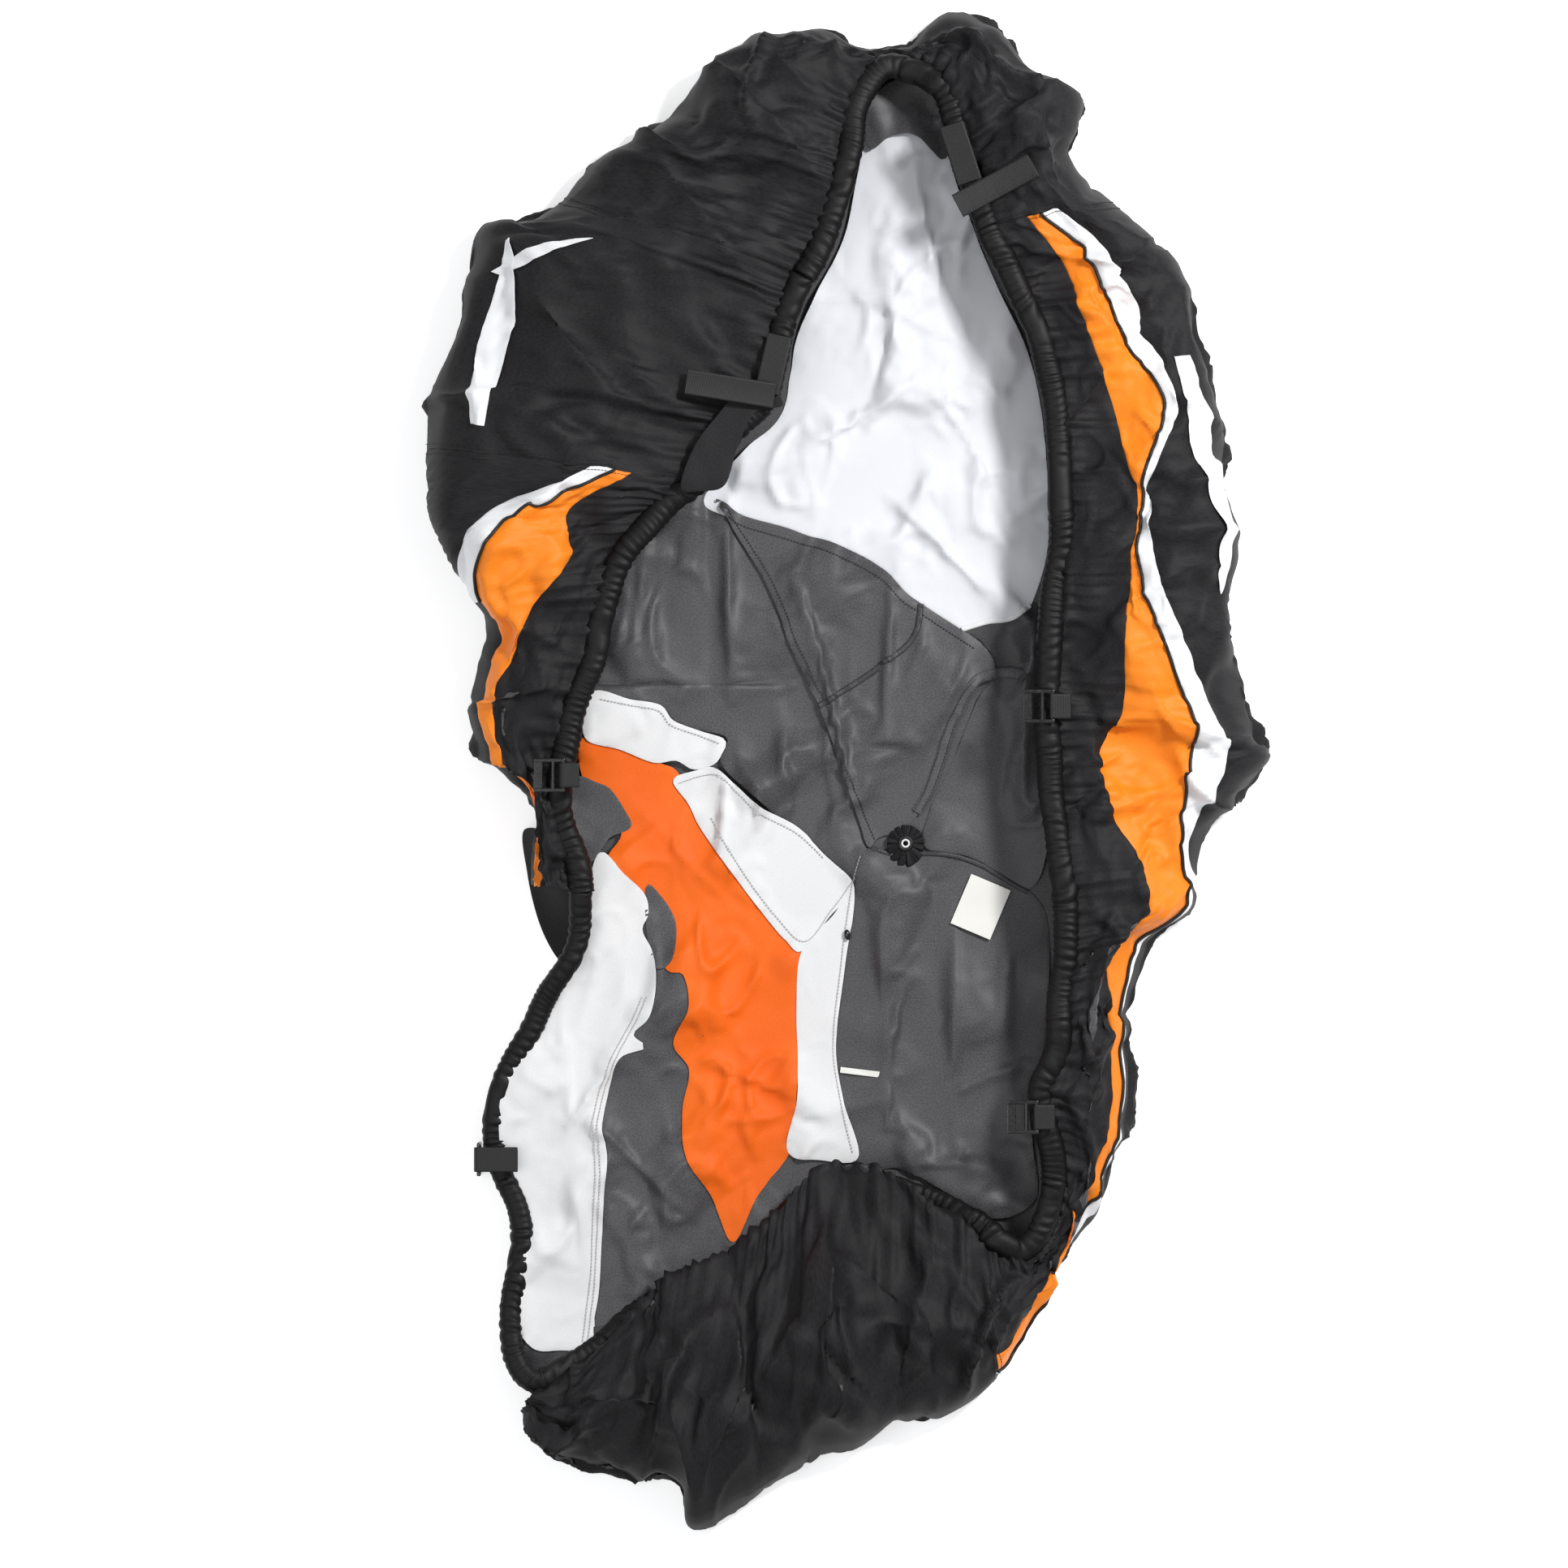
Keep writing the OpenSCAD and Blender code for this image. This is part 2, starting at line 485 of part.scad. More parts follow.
// Where each buckle's anchor bar lies: x, y, z, turn about Z, then tip downwards
LEFT_BUCKLE = [-292, -4, 82, 180, 0];
OPEN_BUCKLE = [-380, -398, 33, 180, 90];
RIGHT_BUCKLE = [206, 66, 104, 180, 0];
REAR_BUCKLE = [190, -352, 92, 180, 0];
LEFT_LOOP_L = 16;
OPEN_LOOP_L = 40;
RIGHT_LOOP_L = 18;
REAR_LOOP_L = 18;
module at_bar(place) { translate([place[0], place[1], place[2]]) rotate([0, 0, place[3]]) children(); }
module tipped(place) { at_bar(place) rotate([0, place[4], 0]) children(); }
module left_buckle_loop() { color("#1c1a1d") at_bar(LEFT_BUCKLE) buckle_loop(LEFT_LOOP_L); }
module open_buckle_loop() { color("#1c1a1d") at_bar(OPEN_BUCKLE) buckle_loop(OPEN_LOOP_L); }
module right_buckle_loop() { color("#1c1a1d") at_bar(RIGHT_BUCKLE) buckle_loop(RIGHT_LOOP_L); }
module rear_buckle_loop() { color("#1c1a1d") at_bar(REAR_BUCKLE) buckle_loop(REAR_LOOP_L); }
module left_buckle() { color("#141315") tipped(LEFT_BUCKLE) ladder_lock(); }
module open_buckle() { color("#141315") tipped(OPEN_BUCKLE) ladder_lock(); }
module right_buckle() { color("#141315") tipped(RIGHT_BUCKLE) ladder_lock(); }
module rear_buckle() { color("#141315") tipped(REAR_BUCKLE) ladder_lock(); }

// Flat webbing from a point, turned about Z and tipped up by an angle
module web_strip(at, turn, rise, length) {
    translate(at) rotate([0, -rise, turn]) translate([0, -web_w / 2, 0]) cube([length, web_w, web_t]);
}
SIDE_LOOP_AT = [-71, 443, 106];
SIDE_LOOP_TURN = 257;
SIDE_LOOP_L = 60;
SIDE_TAIL_AT = [-76, 381, 108.5];
SIDE_TAIL_TURN = 171;
SIDE_TAIL_RISE = 5;
FRONT_LOOP_AT = [103, 658, 98.5];
FRONT_LOOP_TURN = -72;
FRONT_LOOP_L = 62;
FRONT_TAIL_AT = [109, 574, 104];
FRONT_TAIL_TURN = 28;
FRONT_TAIL_RISE = 12;
module side_strap_loop() { color("#1c1a1d") web_strip(SIDE_LOOP_AT, SIDE_LOOP_TURN, 0, SIDE_LOOP_L); }
module side_strap_tail() { color("#1c1a1d") web_strip(SIDE_TAIL_AT, SIDE_TAIL_TURN, SIDE_TAIL_RISE, side_tail_l); }
module front_strap_loop() { color("#1c1a1d") web_strip(FRONT_LOOP_AT, FRONT_LOOP_TURN, 0, FRONT_LOOP_L); }
module front_strap_tail() { color("#1c1a1d") web_strip(FRONT_TAIL_AT, FRONT_TAIL_TURN, FRONT_TAIL_RISE, front_tail_l); }
// Flap of cloth that covers the hem below the side strap
Z_GUSSET = 102.5;
module side_gusset() {
    color("#242226") floor_cloth([
        [-68, 372], [-96, 365], [-117, 323], [-127, 291], [-150, 285], [-172, 288],
        [-158, 330], [-132, 365], [-108, 392], [-84, 396]
    ], Z_GUSSET);
}

crown_front();
crown_rear();
soft_liner();
centre_flap();
left_inner_panel();
right_inner_panel();
rear_inner_panel();
open_white_band();
open_orange_panel();
open_middle_band();
open_lower_band();
open_white_panel();
open_grey_panel();
nose_panel();
left_shoulder_panel();
left_side_panel();
left_white_stripe();
left_piping();
left_orange_stripe();
left_skirt();
right_side_panel();
right_white_stripe();
right_piping();
right_orange_stripe();
right_skirt();
tail_panel();
hem_casing_front();
hem_casing_right();
hem_casing_rear();
hem_casing_left();
hem_elastic();
port_gather();
port_ring();
seam_bead();
care_label();
size_tag();
left_blade();
right_blade();
left_buckle_loop();
open_buckle_loop();
right_buckle_loop();
rear_buckle_loop();
left_buckle();
open_buckle();
right_buckle();
rear_buckle();
side_strap_loop();
side_strap_tail();
side_gusset();
front_strap_loop();
front_strap_tail();
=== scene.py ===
# %% [markdown]
# # A fitted storage cover, lying mouth up
# The object is a sewn polyester cover with an elastic hem. It lies on its crown with the mouth
# up, its walls slumped inward and one wall folded out, so both faces of the cloth show.
# The CAD model fixes where everything is. Here each piece of cloth gets its folds, seams and
# weave. The frame comes first, because every piece is placed from it and rides on its bodies.
# %% Load the fixed frame
import math
import bmesh
import bpy
import numpy as np
from mathutils import Matrix, Vector


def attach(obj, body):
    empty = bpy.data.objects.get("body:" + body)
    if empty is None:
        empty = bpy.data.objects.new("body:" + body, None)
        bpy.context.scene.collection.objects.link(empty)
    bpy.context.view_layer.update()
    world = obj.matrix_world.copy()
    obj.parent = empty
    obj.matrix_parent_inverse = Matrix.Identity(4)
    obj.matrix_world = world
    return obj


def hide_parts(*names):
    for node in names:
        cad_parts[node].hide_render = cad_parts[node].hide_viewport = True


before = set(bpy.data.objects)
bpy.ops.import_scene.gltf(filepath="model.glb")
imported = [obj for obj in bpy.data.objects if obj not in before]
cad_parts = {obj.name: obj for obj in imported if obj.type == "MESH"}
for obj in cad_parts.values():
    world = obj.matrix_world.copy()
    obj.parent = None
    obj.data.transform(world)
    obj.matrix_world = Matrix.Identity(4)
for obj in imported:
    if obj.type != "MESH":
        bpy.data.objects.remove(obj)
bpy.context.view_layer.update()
MM = 0.001

# %% [markdown]
# ## Camera, light and floor
# The cover is seen from straight above. A long lens high up keeps the walls from leaning, as
# they would under a wide lens close by. One large soft lamp from the upper right models the
# folds, a weaker one fills from the left, and a pale world keeps the shadows open. The view
# transform is the plain one, so that white cloth stays white and orange stays orange.
# %% Camera
VIEW_CENTRE = Vector((-0.067, -0.013, 0.05))
VIEW_WIDTH = 1.604
CAMERA_HEIGHT = 8.0
camera = bpy.data.objects.new("camera", bpy.data.cameras.new("camera"))
camera.location = VIEW_CENTRE + Vector((0, 0, CAMERA_HEIGHT))
camera.data.sensor_width = 36
camera.data.lens = 36 * CAMERA_HEIGHT / VIEW_WIDTH
camera.data.clip_end = 50
bpy.context.scene.collection.objects.link(camera)
bpy.context.scene.camera = camera
bpy.context.scene.view_settings.view_transform = "Standard"
print("camera looks down from", CAMERA_HEIGHT, "m")


# %% Lamps and world
def lamp(name, place, size, watts):
    light = bpy.data.lights.new(name, "AREA")
    light.size = size
    light.energy = watts
    made = bpy.data.objects.new(name, light)
    made.location = place
    made.rotation_mode = "QUATERNION"
    made.rotation_quaternion = (Vector((0, 0, 0)) - Vector(place)).to_track_quat("-Z", "Y")
    bpy.context.scene.collection.objects.link(made)
    return made


lamp("key_lamp", (1.8, 1.5, 2.9), 0.5, 116)
lamp("fill_lamp", (-1.2, -0.6, 3.2), 1.6, 26)
world = bpy.data.worlds.new("studio")
world.use_nodes = True
world.node_tree.nodes["Background"].inputs["Color"].default_value = (0.95, 0.97, 1.0, 1)
world.node_tree.nodes["Background"].inputs["Strength"].default_value = 0.36
bpy.context.scene.world = world
print("two lamps and a pale world")


# %% [markdown]
# ## Painting with expressions
# A material is a small graph of nodes, and long graphs are easier to read as sums. `Value`
# wraps a node's output, so that `1 - mask * 0.3` adds the Math nodes itself. `Paint.node` adds
# any other node from its type, its settings and the values or links of its sockets.
# %% Value and Paint
class Value:
    def __init__(self, paint, socket):
        self.paint = paint
        self.socket = socket

    def maths(self, operation, first, second=0.0):
        return self.paint.node("ShaderNodeMath", {"operation": operation}, {0: first, 1: second})

    def __add__(self, other):
        return self.maths("ADD", self, other)

    def __sub__(self, other):
        return self.maths("SUBTRACT", self, other)

    def __mul__(self, other):
        return self.maths("MULTIPLY", self, other)

    def __truediv__(self, other):
        return self.maths("DIVIDE", self, other)

    def __radd__(self, other):
        return self.maths("ADD", other, self)

    def __rsub__(self, other):
        return self.maths("SUBTRACT", other, self)

    def __rmul__(self, other):
        return self.maths("MULTIPLY", other, self)

    def __rtruediv__(self, other):
        return self.maths("DIVIDE", other, self)

    def sine(self):
        return self.maths("SINE", self)


class Paint:
    def __init__(self, name):
        self.material = bpy.data.materials.new(name)
        self.material.use_nodes = True
        self.tree = self.material.node_tree
        self.tree.nodes.clear()

    def node(self, kind, settings, sockets, output=0):
        made = self.tree.nodes.new(kind)
        for name, value in settings.items():
            if name == "stops":
                ramp = made.color_ramp.elements
                while len(ramp) < len(value):
                    ramp.new(0.5)
                for element, (place, colour) in zip(ramp, value):
                    element.position = place
                    element.color = (*colour, 1)
            else:
                setattr(made, name, value)
        for key, value in sockets.items():
            if isinstance(value, Value):
                self.tree.links.new(value.socket, made.inputs[key])
            else:
                made.inputs[key].default_value = value
        return Value(self, made.outputs[output]) if len(made.outputs) else None

    def cloth_place(self):
        """Where a point lies on the flat cloth, in metres."""
        return self.node("ShaderNodeUVMap", {"uv_map": "cut"}, {})

    def noise(self, place, cells_per_metre, detail=2.0):
        return self.node("ShaderNodeTexNoise", {},
            {"Vector": place, "Scale": cells_per_metre, "Detail": detail})

    def mix(self, mask, low, high):
        sockets = {0: mask, 6: low if isinstance(low, Value) else (*low, 1)}
        sockets[7] = high if isinstance(high, Value) else (*high, 1)
        return self.node("ShaderNodeMix", {"data_type": "RGBA"}, sockets, output=2)

    def band(self, value, low, high):
        """0 below low, 1 above high, and a straight rise between."""
        return self.node("ShaderNodeMapRange", {"clamp": True},
            {0: value, 1: low, 2: high, 3: 0.0, 4: 1.0})

    def finish(self, sockets, bump=None, bump_height=0.0001):
        if bump is not None:
            made = self.node("ShaderNodeBump", {},
                {"Height": bump, "Strength": 1.0, "Distance": bump_height})
            sockets = {**sockets, "Normal": made}
        shader = self.node("ShaderNodeBsdfPrincipled", {}, sockets)
        self.node("ShaderNodeOutputMaterial", {}, {"Surface": shader})
        return self.material


print("shader expressions ready")


# %% [markdown]
# ## Cloth finishes
# Woven polyester is two sets of threads that pass over and under each other. Seen close, the
# tops of the threads catch the light in a fine grid, and seen from afar they average to a soft
# grain. That light is painted into the base colour here. A fine speckle, partly yarn tone and
# partly painted sheen, and the weave itself lighten the colour as a painted highlight on the
# thread tops, over a broad random tone. The weave also bumps the surface. The weave is drawn on
# the flat cloth's own map, so it bends with every fold. The coated back has no weave, but a fine
# speckle where the coating sits in the threads' hollows.
# %% A woven finish
THREAD = 0.0011
FULL_TURN = 2 * math.pi


def woven(name, deep, raised, roughness, sheen, grain=0.35, slub=0.25, specular=0.4,
        weave_height=0.00006):
    paint = Paint(name)
    place = paint.cloth_place()
    along = paint.node("ShaderNodeSeparateXYZ", {}, {0: place})
    across = paint.node("ShaderNodeSeparateXYZ", {}, {0: place}, output=1)
    weave = (along * (FULL_TURN / THREAD)).sine() * (across * (FULL_TURN / THREAD)).sine()
    fine = paint.noise(place, 520)
    broad = paint.noise(place, 7, 4.0)
    # Painted highlight: the weave and the fine speckle lighten the colour where thread tops catch
    # the light; the broad noise is random tone.
    tone = paint.band(fine * grain + broad * slub + weave * 0.06 + (0.5 - 0.5 * (grain + slub)),
        0.2, 0.8)
    sockets = {
        "Base Color": paint.mix(tone, deep, raised),
        "Roughness": roughness + (fine - 0.5) * 0.12,
        "Specular IOR Level": specular,
        "Sheen Weight": sheen,
        "Sheen Roughness": 0.45,
    }
    return paint.finish(sockets, weave * 0.5 + fine, weave_height)


outer_cloth = woven(
    "outer_cloth", (0.0036, 0.0032, 0.0037), (0.0215, 0.0195, 0.0217), 0.62, 0.0, 0.8, 0.3, 0.24)
hem_cloth = woven(
    "hem_cloth", (0.002, 0.0018, 0.0021), (0.010, 0.0092, 0.010), 0.5, 0.0, 0.7, 0.3, 0.24)
white_cloth = woven(
    "white_cloth", (0.78, 0.785, 0.80), (0.90, 0.90, 0.91), 0.62, 0.05, 0.3, 0.3, 0.3)
white_inside = woven(
    "white_inside", (0.70, 0.70, 0.705), (0.86, 0.86, 0.86), 0.7, 0.03, 0.4, 0.35, 0.25)
orange_cloth = woven(
    "orange_cloth", (0.86, 0.17, 0.004), (1.0, 0.31, 0.012), 0.55, 0.05, 0.35, 0.3, 0.35)
orange_inside = woven(
    "orange_inside", (0.80, 0.085, 0.003), (0.97, 0.20, 0.008), 0.6, 0.03, 0.3, 0.45, 0.3)
white_liner = woven(
    "white_liner", (0.70, 0.715, 0.76), (0.84, 0.845, 0.87), 0.85, 0.12, 0.2, 0.35, 0.15)
label_cloth = woven("label_cloth", (0.78, 0.77, 0.72), (0.88, 0.87, 0.83), 0.6, 0.02, 0.3, 0.3, 0.3)
print("eight woven finishes")


# %% A coated finish for the inside of the black cloth
def coated(name, deep, raised, roughness):
    paint = Paint(name)
    place = paint.cloth_place()
    speckle = paint.noise(place, 620, 1.0)
    broad = paint.noise(place, 6, 3.0)
    tone = paint.band(speckle * 0.9 + broad * 0.25 - 0.08, 0.28, 0.72)
    sockets = {
        "Base Color": paint.mix(tone, deep, raised),
        "Roughness": roughness + (speckle - 0.5) * 0.15,
        "Specular IOR Level": 0.4,
    }
    return paint.finish(sockets, speckle, 0.00008)


grey_coated = coated("grey_coated", (0.042, 0.041, 0.044), (0.098, 0.096, 0.101), 0.52)
dark_coated = coated("dark_coated", (0.022, 0.021, 0.023), (0.058, 0.056, 0.060), 0.5)
print("two coated finishes")


# %% [markdown]
# ## Trim finishes
# Webbing is a thick weave with ribs across it, which are modelled, so its finish only needs the
# fine threads. Buckles are moulded nylon: smooth, dark, and a little uneven in gloss.
# %% Plain finishes on object coordinates
def moulded(name, colour, roughness, grain_cells, specular=0.5):
    paint = Paint(name)
    place = paint.node("ShaderNodeTexCoord", {}, {}, output=3)
    grain = paint.noise(place, grain_cells)
    lighter = tuple(min(1.0, c * 1.9 + 0.004) for c in colour)
    sockets = {
        "Base Color": paint.mix(paint.band(grain, 0.35, 0.75), colour, lighter),
        "Roughness": roughness + (grain - 0.5) * 0.2,
        "Specular IOR Level": specular,
    }
    return paint.finish(sockets, grain, 0.00005)


webbing_black = moulded("webbing_black", (0.008, 0.008, 0.0085), 0.55, 900, 0.4)
buckle_nylon = moulded("buckle_nylon", (0.006, 0.006, 0.0065), 0.28, 260, 0.6)
piping_black = moulded("piping_black", (0.007, 0.0068, 0.0072), 0.5, 700, 0.4)
elastic_black = moulded("elastic_black", (0.02, 0.019, 0.02), 0.8, 700, 0.2)
thread_dark = moulded("thread_dark", (0.012, 0.012, 0.013), 0.6, 900, 0.3)
thread_light = moulded("thread_light", (0.30, 0.29, 0.29), 0.6, 900, 0.3)
glass_black = moulded("glass_black", (0.006, 0.006, 0.007), 0.12, 200, 0.6)
print("trim finishes ready")

# %% [markdown]
# The floor is one large plane. It isn't part of the cover.
# %% Floor
floor_paper = Paint("floor_paper")
floor_paint = floor_paper.finish({
    "Base Color": (0.93, 0.93, 0.935, 1), "Roughness": 0.9, "Specular IOR Level": 0.1,
    "Emission Color": (1, 1, 1, 1), "Emission Strength": 0.55})
work = bmesh.new()
bmesh.ops.create_grid(work, x_segments=1, y_segments=1, size=6)
floor_mesh = bpy.data.meshes.new("floor")
work.to_mesh(floor_mesh)
work.free()
floor_mesh.materials.append(floor_paint)
floor = bpy.data.objects.new("floor", floor_mesh)
bpy.context.scene.collection.objects.link(floor)
print("floor laid")

# %% [markdown]
# ## Stations of the wall
# The slumped wall runs round the cover like the side of a bowl. It is set out as on a drawing:
# at each station a row gives where the cloth bulges outward, where its mouth is, how high its
# top and its mouth stand, how far in the seams of the stripes lie, and whether the hem is
# tucked under. The rows are the CAD model's, in millimetres, apart from the seams' shares at
# the first station past the tail's seam, where the CAD model's are smaller.
# %% Station rows
WALL = np.array([
    [-325, -115, -262, -125, 70, 60, 0.03, 0.06, 0.16, 0],
    [-335, -40, -285, -15, 85, 75, 0.03, 0.06, 0.18, 0],
    [-378, 30, -275, 40, 100, 85, 0.03, 0.06, 0.14, 0],
    [-380, 110, -255, 95, 115, 95, 0.03, 0.06, 0.20, 0],
    [-372, 155, -238, 165, 125, 98, 0.03, 0.08, 0.35, 0],
    [-400, 198, -215, 228, 132, 100, 0.03, 0.15, 0.62, 0],
    [-430, 255, -180, 268, 140, 105, 0.24, 0.38, 0.58, 0],
    [-430, 330, -140, 295, 145, 108, 0.58, 0.66, 0.72, 0],
    [-425, 405, -105, 345, 150, 110, 0.60, 0.66, 0.70, 0],
    [-390, 500, -72, 378, 150, 112, 0.60, 0.66, 0.70, 0],
    [-370, 560, -58, 450, 148, 114, 0.60, 0.66, 0.70, 0],
    [-295, 587, -35, 500, 145, 115, 0.60, 0.66, 0.70, 0],
    [-250, 632, -8, 552, 140, 113, 0.60, 0.66, 0.70, 0],
    [-190, 668, 5, 610, 138, 110, 0.60, 0.66, 0.70, 0],
    [-125, 740, 18, 668, 128, 102, 0.60, 0.66, 0.70, 0],
    [-40, 765, 32, 698, 105, 92, 0.60, 0.66, 0.70, 0],
    [35, 745, 52, 710, 80, 80, 0.60, 0.66, 0.70, 0],
    [128, 775, 85, 690, 105, 88, 0.60, 0.66, 0.70, 0],
    [185, 728, 96, 655, 125, 98, 0.60, 0.66, 0.70, 0],
    [235, 690, 105, 622, 138, 105, 0.60, 0.66, 0.70, 0],
    [232, 628, 118, 590, 140, 105, 0.60, 0.66, 0.70, 0],
    [275, 582, 130, 552, 140, 105, 0.46, 0.56, 0.66, 0],
    [338, 528, 150, 508, 138, 104, 0.40, 0.52, 0.66, 0],
    [362, 435, 184, 430, 140, 104, 0.34, 0.46, 0.65, 0],
    [376, 375, 198, 370, 142, 105, 0.27, 0.34, 0.62, 0],
    [395, 280, 204, 285, 145, 106, 0.48, 0.53, 0.57, 0],
    [400, 200, 200, 205, 145, 108, 0.44, 0.53, 0.58, 0],
    [400, 110, 190, 125, 140, 108, 0.22, 0.34, 0.56, 0],
    [410, 55, 187, 65, 135, 108, 0.12, 0.25, 0.58, 0],
    [435, 15, 190, 10, 126, 106, 0.20, 0.35, 0.72, 0],
    [385, -40, 197, -50, 122, 106, 0.10, 0.22, 0.60, 0],
    [356, -95, 204, -105, 125, 108, 0.03, 0.08, 0.36, 0],
    [355, -140, 206, -160, 125, 108, 0.02, 0.06, 0.32, 0],
    [310, -190, 205, -210, 122, 106, 0.02, 0.06, 0.20, 0],
    [292, -280, 198, -280, 120, 102, 0.02, 0.05, 0.12, 0],
    [286, -365, 182, -325, 118, 96, 0.02, 0.05, 0.12, 0],
    [262, -430, 195, -385, 98, 84, 0.02, 0.06, 0.14, 0],
    [228, -485, 198, -440, 88, 78, 0.02, 0.06, 0.16, 0],
    [205, -535, 170, -480, 92, 76, 0.02, 0.06, 0.16, 0],
    [150, -620, 138, -455, 110, 80, 0.02, 0.06, 0.16, 0],
    [95, -655, 92, -425, 120, 78, 0.60, 0.66, 0.70, 0.5],
    [25, -685, 22, -402, 125, 70, 0.60, 0.66, 0.70, 1],
    [-55, -710, -35, -410, 122, 62, 0.60, 0.66, 0.70, 1],
    [-155, -775, -100, -475, 112, 58, 0.60, 0.66, 0.70, 1],
    [-190, -738, -160, -505, 105, 55, 0.60, 0.66, 0.70, 1],
    [-245, -725, -210, -535, 95, 52, 0.60, 0.66, 0.70, 1],
    [-305, -710, -262, -580, 80, 48, 0.60, 0.66, 0.70, 0.5],
    [-335, -655, -310, -615, 60, 42, 0.60, 0.66, 0.70, 0],
])
LOFT = 0.8
WALL[:, 4:6] *= LOFT
LAST = len(WALL) - 1
LEFT_WHITE, SHOULDER, NOSE_LEFT, NOSE_RIGHT, TAIL = 4.5, 7, 11, 21, 39
WHITE, PIPE, ORANGE, TUCK = 6, 7, 8, 9
print("wall set out at", len(WALL), "stations")


# %% [markdown]
# A smooth line through hand-set points is a Catmull-Rom curve: it passes through each point
# and leaves it in the direction of its neighbours. The section below is the CAD model's too:
# from the foot, out to the bulge, up to the top and gently down to the mouth.
# %% Curves and the wall's section
def through(points, at, closed=False):
    points = np.asarray(points, float)
    at = np.asarray(at, float)
    count = len(points)
    whole = np.floor(at).astype(int)
    if not closed:
        whole = np.clip(whole, 0, count - 2)
    t = (at - whole)[:, None]

    def near(step):
        place = whole + step
        return points[place % count] if closed else points[np.clip(place, 0, count - 1)]

    p, q, r, s = near(-1), near(0), near(1), near(2)
    return (0.5 * (2 * q + (r - p) * t + (2 * p - 5 * q + 4 * r - s) * t * t
        + (3 * q - p - 3 * r + s) * t ** 3))


FOOT_SHARE, TOP_SHARE, BULGE_SHARE = 0.2, 0.42, 0.3
FOOT_IN, HEM_R = 30, 12


def ease(u):
    u = np.clip(u, 0, 1)
    return u * u * (3 - 2 * u)


def rim_share(rows):
    span = np.linalg.norm(rows[:, 2:4] - rows[:, 0:2], axis=1)
    tucked = np.clip(2 * rows[:, TUCK] - 1, 0, 1)
    return 1 - (2 * HEM_R + 3) / span * (1 - tucked)


def wall_base(k, w):
    """Points of the smooth wall in mm: station k, and share w from its foot (-0.2) over its
    bulge (0) to its mouth (1)."""
    rows = through(WALL, k)
    bulge, mouth = rows[:, 0:2], rows[:, 2:4]
    span = np.linalg.norm(mouth - bulge, axis=1)
    inward = (mouth - bulge) / span[:, None]
    turn = math.pi / 2 * np.clip(-w / FOOT_SHARE, 0, 1)
    rise = np.sqrt(np.clip(1 - (1 - np.clip(w / TOP_SHARE, 0, 1)) ** 2, 0, 1))
    above = ((BULGE_SHARE + (1 - BULGE_SHARE) * rise) * rows[:, 4]
        - (rows[:, 4] - rows[:, 5]) * ease((w - TOP_SHARE) / (1 - TOP_SHARE)))
    below = BULGE_SHARE * rows[:, 4] * (1 - np.sin(turn)) + np.sin(turn)
    reach = np.where(w < 0, FOOT_IN * (1 - np.cos(turn)), span * w)
    height = np.where(w < 0, below, above)
    return np.column_stack([bulge + inward * reach[:, None], height])


print("wall at station 25, halfway in:", wall_base(np.array([25.0]), np.array([0.5])).round(1))


# %% [markdown]
# ## Crumpling the wall
# Folded polyester buckles into creases because there is more cloth than room for it. That is
# what the simulation does here: the smooth wall is laid out as a grid, its foot and its rim are
# held, and the cloth between is let grow by some percent, most of all next to the gathered hem.
# It has nowhere to go but into folds. Large folds that belong to this cover are pressed in
# first, as ridges and valleys along a few chosen lines, so the small folds settle round them.
# %% The wall as a grid
MARKS = [0, LEFT_WHITE, SHOULDER, NOSE_LEFT, NOSE_RIGHT, TAIL, LAST]
COLUMN_STEP = 6.5
FOOT_ROWS, WALL_ROWS = 8, 40


def station_steps(start, end, step=COLUMN_STEP):
    """Stations from start to end, evenly spread over the length of the wall between them."""
    fine = np.linspace(start, end, int(60 * (end - start)) + 2)
    middle = wall_base(fine, np.full(len(fine), 0.3))
    along = np.concatenate([[0], np.cumsum(np.linalg.norm(np.diff(middle, axis=0), axis=1))])
    return np.interp(np.linspace(0, along[-1], max(2, round(along[-1] / step)) + 1), along, fine)


COLUMNS = np.unique(np.concatenate([
    station_steps(a, b) for a, b in zip(MARKS, MARKS[1:])]).round(9))
HEM_SHARE = 1.15
SHARES = np.concatenate([np.linspace(-1, 0, FOOT_ROWS, endpoint=False),
    np.linspace(0, 1, WALL_ROWS), [1.05, 1.1, HEM_SHARE]])
COLUMN_AT, SHARE_AT = (a.ravel() for a in np.meshgrid(COLUMNS, SHARES, indexing="ij"))
print("wall grid:", len(COLUMNS), "columns,", len(SHARES), "rows")


def share_to_w(k, share):
    """Share -1 is the foot, 0 the bulge and 1 the rim."""
    return np.where(share < 0, share * FOOT_SHARE,
        np.minimum(share, 1) * rim_share(through(WALL, k)))


TUCK_DROP, TUCK_OUT = 24, 8


def hem_points(rows):
    inward = rows[:, 2:4] - rows[:, 0:2]
    inward = inward / np.linalg.norm(inward, axis=1)[:, None]
    tuck = rows[:, TUCK]
    middle = rows[:, 2:4] - inward * (HEM_R + TUCK_OUT * tuck)[:, None]
    return np.column_stack([middle, rows[:, 5] - TUCK_DROP * np.minimum(1, 2 * tuck)])


def wall_surface(k, share):
    """The smooth wall, and from its rim a short strip into the middle of the hem casing."""
    points = wall_base(k, share_to_w(k, share))
    into = np.clip((share - 1) / (HEM_SHARE - 1), 0, 1)[:, None]
    return points * (1 - into) + hem_points(through(WALL, k)) * into


def grid_normals(points):
    """Outward normals of a grid of points, shaped columns x rows x 3."""
    along = np.gradient(points, axis=0)
    across = np.gradient(points, axis=1)
    normal = np.cross(along, across)
    normal /= np.maximum(np.linalg.norm(normal, axis=2, keepdims=True), 1e-9)
    return -normal


